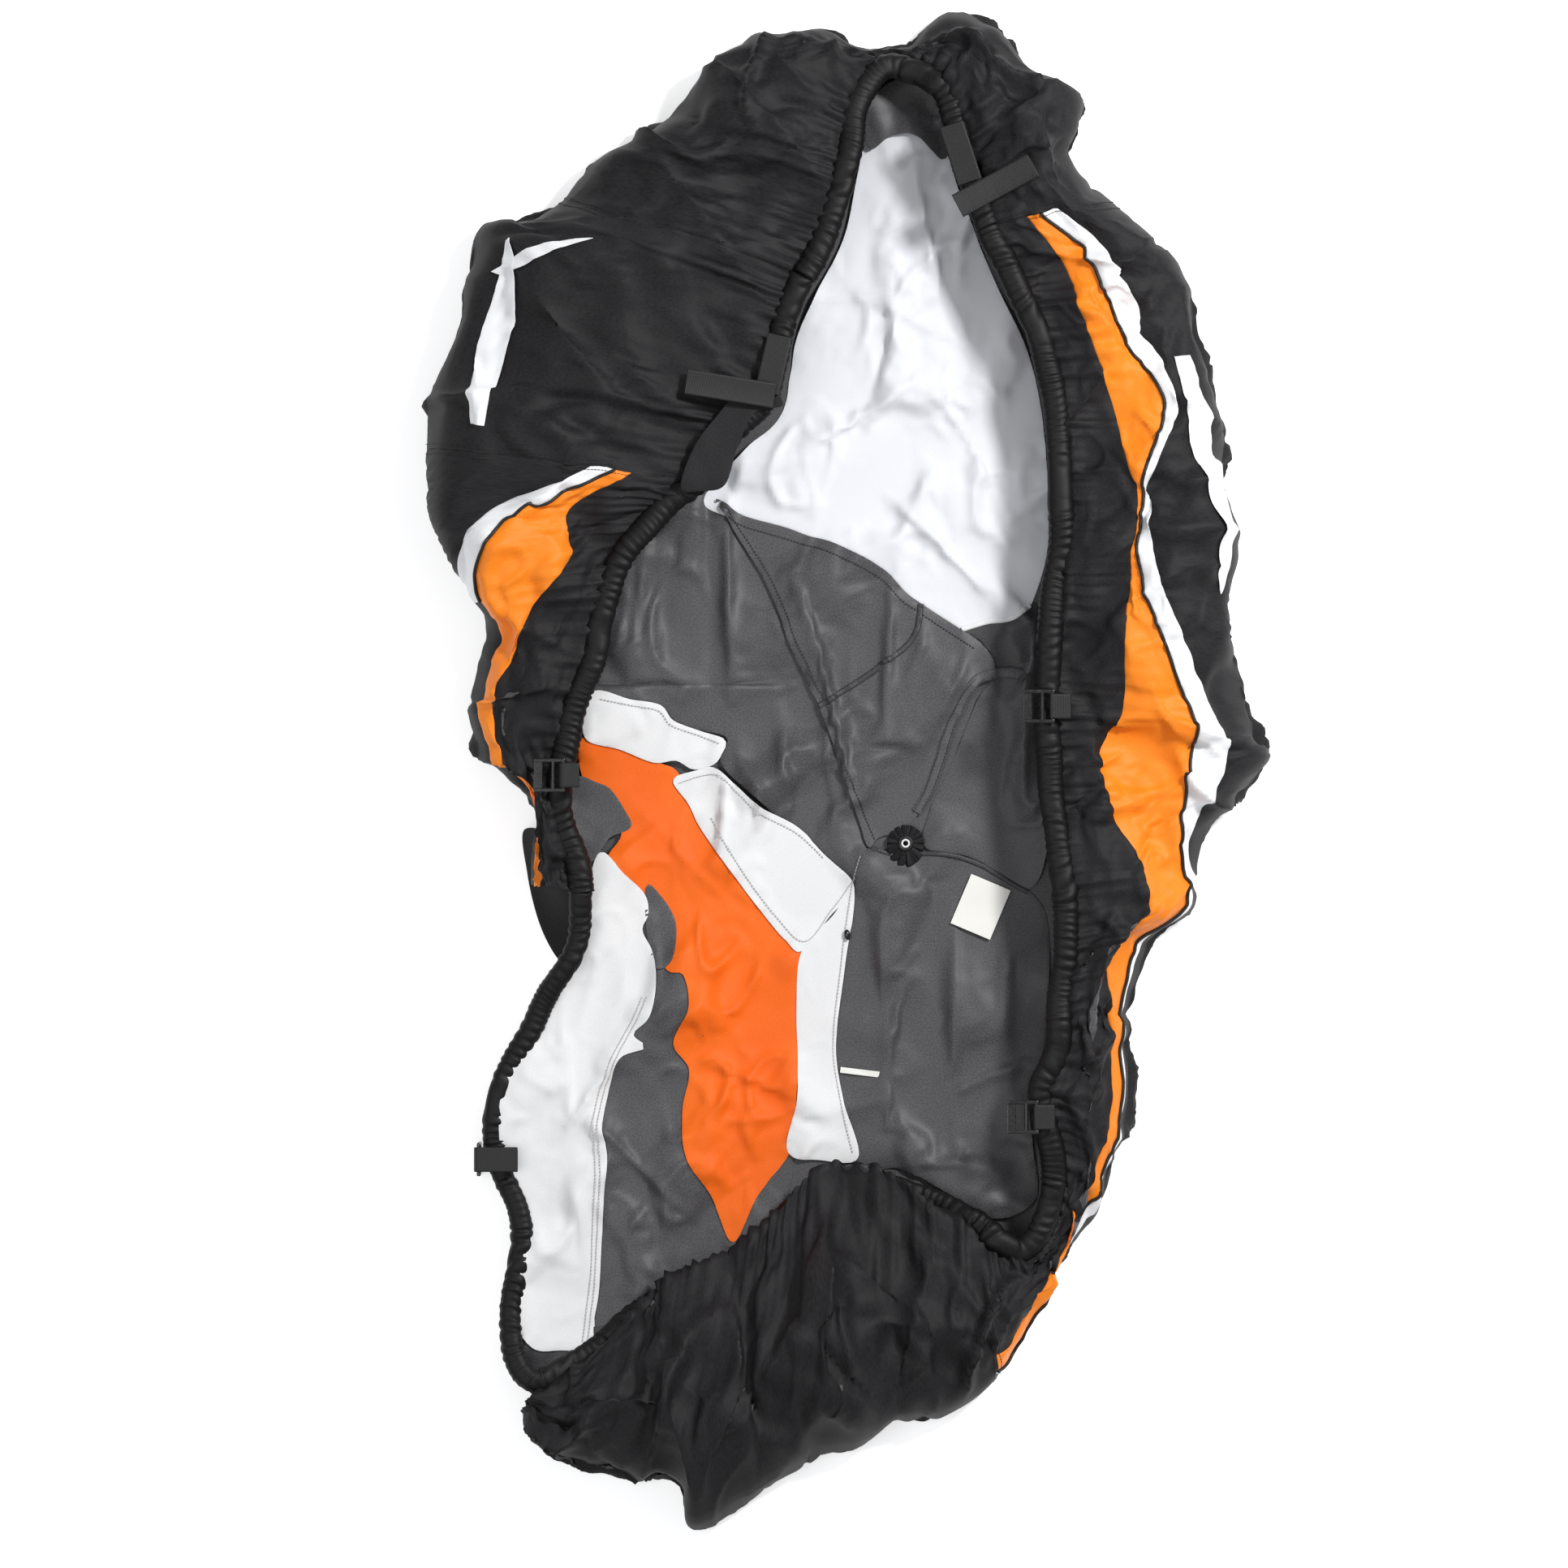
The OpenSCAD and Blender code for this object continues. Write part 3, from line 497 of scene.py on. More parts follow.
# %% [markdown]
# Smooth random waves seed the small creases. They are sums of a few sine waves in random
# directions, which costs little and is the same every time because the directions are seeded.
# %% Waves and pressed folds
def waves(places, longest, shortest, count, seed):
    """Sum of sine waves over places (n x 2 or 3), in about -1 to 1."""
    dice = np.random.default_rng(seed)
    total = np.zeros(len(places))
    for _ in range(count):
        length = math.exp(dice.uniform(math.log(shortest), math.log(longest)))
        direction = dice.normal(size=places.shape[1])
        direction /= np.linalg.norm(direction)
        total += (np.sin(places @ direction * FULL_TURN / length + dice.uniform(0, FULL_TURN))
            * (length / longest) ** 0.5)
    return total / math.sqrt(count / 2)


LEAN = np.array([[0.95, 0.3], [-0.25, 0.7]])


def facets(places, size, seed):
    """Flat facets with sharp creases, as in crumpled cloth: random heights on a triangle
    lattice, straight between."""
    heights = np.random.default_rng(seed).uniform(-1, 1, (64, 64))
    bend = np.column_stack([waves(places, size * 5, size * 1.6, 7, seed + 1),
        waves(places, size * 5, size * 1.6, 7, seed + 2)])
    at = places @ LEAN / size + 0.22 * bend
    at = at + at.sum(axis=1, keepdims=True) * 0.366
    cell = np.floor(at).astype(int)
    part = at - cell
    right = part[:, 0] > part[:, 1]
    middle = cell + np.column_stack([right, ~right])
    high, low = part.max(axis=1), part.min(axis=1)
    corner = [heights[c[:, 0] % 64, c[:, 1] % 64] for c in (cell, middle, cell + 1)]
    return corner[0] * (1 - high) + corner[1] * (high - low) + corner[2] * low


def ridges(places, size, seed):
    """Sharp-crested folds that wander, rise and die out: high where a smooth random wave
    crosses zero."""
    leaned = places @ LEAN
    wave = waves(leaned, size * 2.4, size * 0.9, 9, seed)
    strength = ease(0.5 + 0.8 * waves(places, size * 4, size * 1.5, 6, seed + 1))
    return strength * (1 - np.minimum(np.abs(wave) * 1.5, 1)) ** 1.3


def pressed(places, folds):
    """Height added by folds, each (x0, y0, x1, y1, height, width): a crest along a line,
    tapering to its ends."""
    total = np.zeros(len(places))
    for x0, y0, x1, y1, height, width in folds:
        start, line = np.array([x0, y0], float), np.array([x1 - x0, y1 - y0], float)
        share = ((places - start) @ line) / (line @ line)
        nearest = start + np.clip(share, 0, 1)[:, None] * line
        away = np.linalg.norm(places - nearest, axis=1)
        taper = np.sin(math.pi * np.clip(share, 0.02, 0.98)) ** 0.5
        total += height * taper * np.exp(-away / width)
    return total


def chance_folds(count, region, lengths, heights, widths, seed):
    """Folds strewn over a region (x0, y0, x1, y1), from seeded dice."""
    dice = np.random.default_rng(seed)
    folds = []
    for _ in range(count):
        x, y = dice.uniform(region[0], region[2]), dice.uniform(region[1], region[3])
        length, turn = dice.uniform(*lengths), dice.uniform(0, math.pi)
        height = dice.uniform(*heights) * dice.choice([-1, 1])
        folds.append((x, y, x + length * math.cos(turn), y + length * math.sin(turn), height,
            dice.uniform(*widths)))
    return folds


WALL_FOLDS = [
    (-140, 735, 5, 560, 16, 14), (-175, 690, -25, 470, -14, 22), (-95, 750, 10, 640, 7, 10),
    (-205, 640, -60, 440, 12, 12), (-230, 620, -110, 400, -9, 14), (-300, 560, -150, 520, 9, 12),
    (-160, 575, -170, 430, -8, 8), (-250, 430, -120, 330, 10, 10), (-330, 380, -190, 300, -10, 12),
    (-420, 380, -300, 400, 8, 12), (-330, 500, -240, 380, 8, 10), (-200, 560, -60, 520, 8, 10),
    (130, 760, 95, 680, 10, 9), (185, 720, 120, 610, -8, 9), (230, 660, 130, 600, 9, 10),
    (60, 770, 70, 710, -8, 10), (210, 700, 110, 640, 8, 8), (150, 750, 200, 690, 7, 8),
    (310, 545, 250, 480, 9, 10), (340, 500, 290, 420, -7, 10), (365, 330, 300, 150, 7, 14),
    (385, 250, 350, 60, -7, 16), (420, 20, 330, 60, 8, 12), (300, -60, 250, 60, -7, 12),
    (260, -160, 210, -260, 8, 12), (280, -250, 220, -340, -7, 10), (240, 300, 215, 120, 6, 12),
    (225, 20, 300, -20, -8, 12), (-400, 60, -300, 90, 8, 12), (-340, 150, -280, 120, 7, 10),
    (-20, -440, -60, -640, 16, 12), (40, -430, 90, -600, -12, 12), (90, -470, 40, -640, 12, 12),
    (-120, -500, -90, -720, -16, 13), (-60, -520, -160, -740, 15, 12),
    (-200, -560, -160, -740, 12, 12),
    (-250, -600, -300, -690, 10, 10), (-180, -520, -260, -640, -12, 12),
    (0, -560, 110, -560, 10, 10),
    (-90, -600, 30, -660, 9, 10), (130, -480, 150, -600, 9, 9), (60, -520, -40, -560, -9, 10),
    (-290, -640, -180, -640, 9, 12), (-30, -480, 60, -540, 9, 9), (-130, -640, -40, -700, 8, 9),
]


def gathers(run, share, pleat=13.0, depth=7.0, seed=1):
    """Folds that run in from the hem. Each has its own depth and its own length, so none
    matches the next."""
    phase = run / pleat + 0.8 * np.sin(run / 61.0) + 0.45 * np.sin(run / 23.0 + 1.3)
    number = np.floor(phase).astype(int) % 512
    dice = np.random.default_rng(seed)
    depths, lengths = dice.uniform(0.25, 1.25, 512), dice.uniform(0.08, 0.55, 512) ** 1.2
    ridge = 1 - np.abs(2 * (phase - np.floor(phase)) - 1) ** 1.4
    fade = np.exp(-np.clip(1 - share, 0, 2) / lengths[number])
    return depth * depths[number] * fade * ridge


rim_points = wall_surface(COLUMNS, np.ones(len(COLUMNS)))
hem_run = np.concatenate([[0], np.cumsum(np.linalg.norm(np.diff(rim_points, axis=0), axis=1))])
print("rim is", round(hem_run[-1]), "mm long")


# %% [markdown]
# ## Running the cloth
# One function runs every cloth here: it takes a grid of points, which points are held, and how
# much the cloth grows at each point. It returns where the points came to rest, with no point
# further from its start than a cap, so that a piece stays in the space that the CAD gives it.
# %% Simulate
GROW_LEAST, GROW_MOST = 0.03, 0.38


def settle(name, points, held, growth, frames, cap, stiffness=0.35, weight=0.0, ground=None):
    """points: columns x rows x 3 in mm. held: 0 to 1. growth: 0 to 1, from least to most."""
    columns, rows = points.shape[:2]
    work = bmesh.new()
    bmesh.ops.create_grid(work, x_segments=columns - 1, y_segments=rows - 1, size=0.5)
    mesh = bpy.data.meshes.new(name)
    work.to_mesh(mesh)
    work.free()
    flat = np.zeros(len(mesh.vertices) * 3)
    mesh.vertices.foreach_get("co", flat)
    flat = flat.reshape(-1, 3)
    i = np.rint((flat[:, 0] + 0.5) * (columns - 1)).astype(int)
    j = np.rint((flat[:, 1] + 0.5) * (rows - 1)).astype(int)
    mesh.vertices.foreach_set("co", (points[i, j] * MM).ravel())
    mesh.update()
    piece = bpy.data.objects.new(name, mesh)
    bpy.context.scene.collection.objects.link(piece)
    for group, level in (("held", held), ("growth", growth)):
        made = piece.vertex_groups.new(name=group)
        level = np.clip(level[i, j], 0, 1)
        for step in range(1, 21):
            chosen = np.nonzero(np.rint(level * 20) == step)[0]
            if len(chosen):
                made.add(chosen.tolist(), step / 20, "REPLACE")
    cloth = piece.modifiers.new("cloth", "CLOTH")
    make = cloth.settings
    make.quality = 5
    make.mass = 0.12
    make.air_damping = 3
    make.tension_stiffness = make.compression_stiffness = 18
    make.shear_stiffness = 8
    make.bending_stiffness = stiffness
    make.vertex_group_mass = "held"
    make.pin_stiffness = 1
    make.shrink_min = -GROW_LEAST
    make.shrink_max = -GROW_MOST
    make.vertex_group_shrink = "growth"
    make.effector_weights.gravity = weight
    cloth.collision_settings.use_collision = ground is not None
    cloth.collision_settings.distance_min = 0.0015
    for step in range(1, frames + 1):
        bpy.context.scene.frame_set(step)
    rested = piece.evaluated_get(bpy.context.evaluated_depsgraph_get()).data
    found = np.zeros(len(rested.vertices) * 3)
    rested.vertices.foreach_get("co", found)
    found = found.reshape(-1, 3) / MM
    bpy.data.objects.remove(piece)
    bpy.context.scene.frame_set(1)
    result = np.array(points)
    result[i, j] = found
    moved = result - points
    far = np.maximum(np.linalg.norm(moved, axis=2, keepdims=True), 1e-9)
    return points + moved * np.minimum(1, cap / far)


# %% Crumple the wall
shape = (len(COLUMNS), len(SHARES), 3)
smooth_wall = wall_surface(COLUMN_AT, SHARE_AT).reshape(shape)
outward = grid_normals(smooth_wall)
if outward[..., 2].mean() < 0:
    outward = -outward
flat_places = smooth_wall.reshape(-1, 3)
free = np.sin(math.pi * np.clip((SHARE_AT + 1) / 2.1, 0, 1)) ** 0.6
small_folds = chance_folds(60, (-450, -790, 450, 790), (60, 150), (3, 8), (6, 12), 5)
lift = pressed(flat_places[:, :2], WALL_FOLDS + small_folds) * free
lift += 2.5 * waves(flat_places, 170, 60, 14, 3) * free
folded_wall = smooth_wall + outward * lift.reshape(shape[:2])[..., None]
held = np.zeros(shape[:2])
held[:, 0] = held[:, -1] = held[0, :] = held[-1, :] = 1
near_rim = np.exp(-(1 - SHARES) / 0.16)[None, :] * np.ones(shape[:2])
tail_side = ease((COLUMNS - 37) / 4)[:, None] * np.ones(shape[:2])
growth = np.clip(0.22 * near_rim + 0.12 * tail_side + 0.05, 0, 1)
settled_wall = settle("wall_cloth", folded_wall, held, growth, 26, 20)
settled_wall[..., 2] = np.maximum(settled_wall[..., 2], 0.6)
print("wall moved by up to",
    round(float(np.linalg.norm(settled_wall - folded_wall, axis=2).max()), 1), "mm")


# %% [markdown]
# From here on, every piece on the wall asks one function where the crumpled cloth is. It reads
# the settled grid between its points, so panels that share a seam meet along it exactly.
# %% Reading the settled wall
def read_grid(grid, column, row):
    """Value of a grid at fractional columns and rows, blended between four neighbours."""
    column = np.clip(column, 0, grid.shape[0] - 1.001)
    row = np.clip(row, 0, grid.shape[1] - 1.001)
    i, j = np.floor(column).astype(int), np.floor(row).astype(int)
    s, t = (column - i)[:, None], (row - j)[:, None]
    low = grid[i, j] * (1 - s) + grid[i + 1, j] * s
    high = grid[i, j + 1] * (1 - s) + grid[i + 1, j + 1] * s
    return low * (1 - t) + high * t


wall_out = grid_normals(settled_wall)
if wall_out[..., 2].mean() < 0:
    wall_out = -wall_out
ROW_NUMBERS = np.arange(len(SHARES))


MID_RUN = np.concatenate([[0], np.cumsum(np.linalg.norm(
    np.diff(wall_base(COLUMNS, np.full(len(COLUMNS), 0.3)), axis=0), axis=1))])


def on_wall(k, share, lift=0.0):
    """A point of the crumpled wall. Sharp creases and the hem's pleats are added here,
    finer than the grid."""
    column = np.interp(k, COLUMNS, np.arange(len(COLUMNS)))
    row = np.interp(share, SHARES, ROW_NUMBERS)
    cloth = np.column_stack([np.interp(k, COLUMNS, MID_RUN), 210 * share])
    loose = np.sin(math.pi * np.clip((share + 1) / 2.1, 0, 1)) ** 0.7
    tail = 1 + 0.7 * ease((k - 38) / 2.5)
    small = 5.0 * facets(cloth, 38, 24) + 1.1 * facets(cloth, 14, 27) + 6.0 * ridges(cloth, 38, 37)
    crease = (9.0 * facets(cloth, 84, 21) + 15.0 * ridges(cloth, 95, 31)
        - 8.0 * ridges(cloth, 70, 34) - 5.5)
    crease = ((crease * (1 - 0.45 * np.exp(-(share / 0.12) ** 2))
        + small * (1 - 0.8 * np.exp(-(share / 0.2) ** 2))) * loose * tail)
    run = np.interp(k, COLUMNS, hem_run)
    pleats = gathers(run, share) * ease(share / 0.5) * (1 - ease((share - 1) / (HEM_SHARE - 1)))
    out = np.reshape(lift + crease + pleats - 1.5 * ease(share), (-1, 1))
    points = read_grid(settled_wall, column, row) + read_grid(wall_out, column, row) * out
    points[:, 2] = np.maximum(points[:, 2], 0.5)
    return points


def seam_share(k, seam):
    """Share of the wall at which a seam lies: the foot, the rim, or a column of the station
    rows."""
    if seam == "foot":
        return np.full(len(k), -1.0)
    if seam == "rim":
        return np.full(len(k), HEM_SHARE)
    rows = through(WALL, k)
    rim = rim_share(rows)
    if seam == WHITE:
        rows[k < LEFT_WHITE, WHITE] = rows[k < LEFT_WHITE, PIPE]
    return np.clip(np.minimum(rows[:, seam], rim - 0.02), 0.001, None) / rim


print("a point on the settled wall:", on_wall(np.array([25.0]), np.array([0.5])).round(1))


# %% [markdown]
# ## A helper for every piece of cloth
# Each piece starts as bmesh's grid. A placing function then says where each of its corners
# goes, first from the grid's own two shares, and the same numbers in metres become the map that
# the weave follows. A Solidify modifier gives the cloth its thickness and its other face.
# %% Make a piece of cloth
def cloth_piece(name, columns, rows, place, faces, node=(), body="cover", thickness=0.7,
        turned=None):
    """place(u, v) gives points in mm, and places on the flat cloth in mm. faces: outer and
    inner material."""
    work = bmesh.new()
    bmesh.ops.create_grid(work, x_segments=columns, y_segments=rows, size=0.5)
    mesh = bpy.data.meshes.new(name)
    work.to_mesh(mesh)
    work.free()
    return dress(name, mesh, place, faces, node, body, thickness, turned)


def dress(name, mesh, place, faces, node, body, thickness, turned=None):
    """turned says whether the grid comes out face down; without it, most of the cloth faces up."""
    start = np.zeros(len(mesh.vertices) * 3)
    mesh.vertices.foreach_get("co", start)
    start = start.reshape(-1, 3) + [0.5, 0.5, 0]
    points, flat = place(start[:, 0], start[:, 1])
    mesh.vertices.foreach_set("co", (points * MM).ravel())
    mesh.update()
    normals = np.zeros(len(mesh.polygons) * 3)
    mesh.polygons.foreach_get("normal", normals)
    if turned or (turned is None and normals.reshape(-1, 3)[:, 2].sum() < 0):
        mesh.flip_normals()
    corners = np.zeros(len(mesh.loops), int)
    mesh.loops.foreach_get("vertex_index", corners)
    layer = mesh.uv_layers.new(name="cut")
    layer.data.foreach_set("uv", (flat[corners] * MM).ravel())
    mesh.shade_smooth()
    for material in faces:
        mesh.materials.append(material)
    piece = bpy.data.objects.new(name, mesh)
    bpy.context.scene.collection.objects.link(piece)
    if thickness:
        solid = piece.modifiers.new("thickness", "SOLIDIFY")
        solid.thickness = thickness * MM
        solid.offset = -1
        solid.material_offset = len(faces) - 1
        piece.modifiers.new("flat_edges", "WEIGHTED_NORMAL")
    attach(piece, body)
    if node:
        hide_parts(*([node] if isinstance(node, str) else node))
    if thickness:
        CLOTHS.append((piece, faces))
    return piece


CLOTHS = []


def wall_piece(name, start, end, low, high, faces, step=3.7, lift=0.0):
    ks = np.unique(np.concatenate([station_steps(a, b, step) for a, b in zip(
        [start] + [m for m in MARKS if start < m < end],
        [m for m in MARKS if start < m < end] + [end])]).round(9))
    base_low, base_high = on_wall(ks, seam_share(ks, low)), on_wall(ks, seam_share(ks, high))
    width = np.linalg.norm(base_low - base_high, axis=1)
    rows = int(np.clip(round(np.percentile(width, 90) / step) + 1, 3, 76))
    along = np.interp(ks, COLUMNS, hem_run)

    def place(u, v):
        k = np.interp(u * (len(ks) - 1), np.arange(len(ks)), ks)
        first, last = seam_share(k, low), seam_share(k, high)
        share = first + (last - first) * v
        dip = -0.9 * np.exp(-(np.minimum(v, 1 - v) * rows) ** 2 / 1.2)
        points = on_wall(k, share, lift + dip)
        flat = np.column_stack([u * (along[-1] - along[0]) * 1.25, v * np.median(width) * 1.1])
        return points, flat

    piece = cloth_piece(name + "_cloth", len(ks) - 1, rows, place, faces, name, turned=True)
    print(name, ":", len(ks) - 1, "x", rows)
    return piece


# %% [markdown]
# ## The outer shell
# The wall is sewn from panels: nose, shoulder, sides and tail in black, with a white and an
# orange stripe let into each side. Making each panel its own piece is how the real one is cut.
# %% Wall panels
BLACK = (outer_cloth, grey_coated)
wall_piece("nose_panel", NOSE_LEFT, NOSE_RIGHT, "foot", "rim", BLACK)
wall_piece("left_shoulder_panel", SHOULDER, NOSE_LEFT, "foot", "rim", BLACK)
wall_piece("left_side_panel", 0, SHOULDER, "foot", WHITE, BLACK)
wall_piece("left_white_stripe", LEFT_WHITE, SHOULDER, WHITE, PIPE, (white_cloth, white_inside))
wall_piece(
    "left_orange_stripe", 0, SHOULDER, PIPE, ORANGE, (orange_cloth, orange_inside))
wall_piece("left_skirt", 0, SHOULDER, ORANGE, "rim", BLACK)
wall_piece("right_side_panel", NOSE_RIGHT, TAIL, "foot", WHITE, BLACK)
wall_piece(
    "right_white_stripe", NOSE_RIGHT, TAIL, WHITE, PIPE, (white_cloth, white_inside))
wall_piece("right_orange_stripe", NOSE_RIGHT, TAIL, PIPE, ORANGE, (orange_cloth, orange_inside))
wall_piece("right_skirt", NOSE_RIGHT, TAIL, ORANGE, "rim", BLACK)
wall_piece("tail_panel", TAIL, LAST, "foot", "rim", BLACK)

# %% [markdown]
# ## The cloth inside
# Inside the mouth lie the liner and the coated backs of the panels. They are wrinkled by the same
# means as the wall: one settled sheet covers the whole floor of the cover, and each panel is cut
# from it along its own outline and lifted by the thickness of what lies under it.
# %% The floor as a settled sheet
FIELD_X = np.linspace(-430, 250, 98)
FIELD_Y = np.linspace(-650, 745, 200)
OPEN_SLOPE = math.tan(math.radians(2.2))
INNER_FOLDS = [
    (-147, 285, -147, 25, -9, 7), (-128, 290, -128, 60, 8, 8), (-60, 205, 0, -30, 9, 9),
    (-215, 235, -235, 90, 5, 10),
    (-185, 250, -200, 80, -4, 9), (40, 190, 30, 20, 4, 12), (100, 60, 70, -20, -4, 9),
    (-100, 120, -60, 0, 5, 9),
    (90, -120, 88, -410, -8, 8), (108, -130, 112, -400, 7, 9), (160, -150, 165, -330, 6, 9),
    (30, -150, 40, -380, 5, 11),
    (185, 150, 178, -60, 6, 9), (150, 100, 150, -40, -5, 8), (60, -200, 30, -330, 5, 9),
    (110, -330, 180, -300, 6, 9),
    (-60, 330, 90, 420, 10, 22), (-20, 270, 60, 540, -7, 22), (0, 500, 120, 440, 9, 20),
    (60, 640, 90, 500, 10, 18),
    (100, 380, 170, 250, 9, 18), (20, 300, 130, 190, 8, 16), (-50, 420, 30, 330, -8, 18),
    (80, 300, 40, 220, 8, 16),
    (-120, -330, -80, -440, 9, 10), (-150, -300, -70, -330, 7, 10), (-130, -450, -90, -400, -8, 9),
    (-240, -20, -120, -150, 6, 10), (-200, -60, -150, -190, -6, 9), (-250, -373, -165, -458, 6, 8),
    (-300, -220, -270, -520, 6, 12), (-240, -300, -330, -420, 5, 12),
    (-220, -400, -180, -540, -5, 10),
]
field_x, field_y = (a.ravel() for a in np.meshgrid(FIELD_X, FIELD_Y, indexing="ij"))


def floor_height(x, y):
    """Height of the smooth cloth inside: flat, rising to the open wall on the left and a
    little to the nose."""
    return 4 + np.clip(-60 - x, 0, None) * OPEN_SLOPE * (y < 90) + 9 * ease((y - 380) / 330)


grow_liner = ease((field_y - 150) / 90)
grow_orange = np.exp(-((field_x + 120) / 75) ** 2) * ease((60 - field_y) / 60)
field_shape = (len(FIELD_X), len(FIELD_Y))
field_lift = pressed(np.column_stack([field_x, field_y]), INNER_FOLDS)
field_lift += 3.0 * waves(np.column_stack([field_x, field_y]), 190, 70, 12, 40)
flat_field = np.column_stack([field_x, field_y,
    floor_height(field_x, field_y) + field_lift]).reshape(*field_shape, 3)
pinned = np.zeros(field_shape)
pinned[0] = pinned[-1] = pinned[:, 0] = pinned[:, -1] = 1
field_growth = (0.10 + 0.22 * grow_liner + 0.40 * grow_orange).reshape(field_shape)
settled_field = settle("floor_cloth", flat_field, pinned, field_growth, 20, 11)
print("floor sheet settled:", settled_field.shape[:2])


# Cloth lies flat where a label is sewn to it, so the label can be folded over
FLAT_SPOTS = [((147, -118), 62), ((-6, -307), 46)]


def on_floor(x, y, lift=0.0, crease=1.0):
    column = np.interp(x, FIELD_X, np.arange(len(FIELD_X)))
    row = np.interp(y, FIELD_Y, np.arange(len(FIELD_Y)))
    places = np.column_stack([x, y])
    orange = np.exp(-((x + 120) / 70) ** 2) * ease((60 - y) / 60)
    calm = 0.45 * np.exp(-((x - 105) / 75) ** 2 - ((y + 230) / 150) ** 2)
    soft = 0.6 + 1.3 * orange + 0.4 * ease((y - 200) / 80) - calm
    small = (4.0 * facets(places, 70, 51) + 2.4 * facets(places, 31, 54)
        + 0.7 * facets(places, 13, 57))
    small += 6.5 * ridges(places, 66, 61) + 3.5 * ridges(places, 34, 64) - 2.5
    points = read_grid(settled_field, column, row)
    base = floor_height(x, y)
    above = points[:, 2] - base + small * soft * crease
    points[:, 2] = base + np.where(above > 0, above, 0.4 * above) + lift
    points[:, 2] = np.maximum(points[:, 2], 1.2 + lift)
    for middle, reach in FLAT_SPOTS:
        near = np.exp(-(np.linalg.norm(places - middle, axis=1) / reach) ** 4)
        points[:, 2] += near * (1.3 + 0.4 * lift - points[:, 2])
    return points


# %% [markdown]
# A panel's outline is drawn as a loop of points, taken smoothly where the cloth was cut
# in a curve. The grid inside it is trimmed to the outline, so the edge is clean and the faces
# stay even.
# %% Cut a panel out of the floor sheet
def smooth_loop(points, step=4.0):
    points = np.asarray(points, float)
    reach = np.linalg.norm(np.roll(points, -1, axis=0) - points, axis=1)
    at = np.concatenate([
        k + np.linspace(0, 1, max(2, round(r / step)), endpoint=False)
        for k, r in enumerate(reach)])
    return through(points, at, closed=True)


def sharp_loop(points, step=4.0):
    points = np.asarray(points, float)
    after = np.roll(points, -1, axis=0)
    parts = [p + (q - p) * np.linspace(0, 1, max(2, round(np.linalg.norm(q - p) / step)),
        endpoint=False)[:, None]
             for p, q in zip(points, after)]
    return np.vstack(parts)


def nearest_on_loop(places, loop):
    """For each place: how far inside the loop it is (negative outside), and the loop's
    nearest point."""
    start, line = loop, np.roll(loop, -1, axis=0) - loop
    best = np.full(len(places), 1e9)
    near = np.zeros((len(places), 2))
    inside = np.zeros(len(places), bool)
    for p, d in zip(start, line):
        share = np.clip(((places - p) @ d) / max(d @ d, 1e-9), 0, 1)
        foot = p + share[:, None] * d
        away = np.linalg.norm(places - foot, axis=1)
        closer = away < best
        best[closer], near[closer] = away[closer], foot[closer]
        if abs(d[1]) > 1e-9:
            crossing = (p[1] > places[:, 1]) != (p[1] + d[1] > places[:, 1])
            inside ^= crossing & (places[:, 0] < p[0] + (places[:, 1] - p[1]) / d[1] * d[0])
    return np.where(inside, best, -best), near


def cut_panel(name, loop, faces, node=(), lift=0.0, step=4.0, crease=1.0, height=None,
        thickness=0.7):
    """A panel inside the loop. height(x, y) can stand in for the settled sheet."""
    low, high = loop.min(axis=0) - step, loop.max(axis=0) + step
    columns, rows = (int(n) for n in np.ceil((high - low) / step))
    work = bmesh.new()
    bmesh.ops.create_grid(work, x_segments=columns, y_segments=rows, size=0.5)
    work.verts.index_update()
    places = np.array([low + (high - low) * (vert.co.x + 0.5, vert.co.y + 0.5)
        for vert in work.verts])
    depth, near = nearest_on_loop(places, loop)
    outside = [face for face in work.faces
        if min(depth[vert.index] for vert in face.verts) < -0.45 * step]
    for vert in work.verts:
        vert.co = (*(places[vert.index] * MM), 0)
    bmesh.ops.delete(work, geom=outside, context="FACES")
    kept = np.array([vert.co[:2] for vert in work.verts]) / MM
    depth, near = nearest_on_loop(kept, loop)
    for vert, inside, edge in zip(work.verts, depth, near):
        if vert.is_boundary or inside < 0:
            vert.co = (*(edge * MM), 0)
    bmesh.ops.dissolve_degenerate(work, edges=work.edges[:], dist=0.0002)
    mesh = bpy.data.meshes.new(name)
    work.to_mesh(mesh)
    work.free()

    def place(u, v):
        x, y = (u - 0.5) / MM, (v - 0.5) / MM
        edge = np.minimum(nearest_on_loop(np.column_stack([x, y]), loop)[0], 12)
        if height is None:
            points = on_floor(x, y, lift - 0.15 * np.exp(-edge / 2.5), crease)
        else:
            points = np.column_stack([x, y, height(x, y)])
        return points, np.column_stack([x, y])

    piece = dress(name, mesh, place, faces, node, "cover", thickness)
    print(name, ":", len(mesh.polygons), "faces")
    return piece


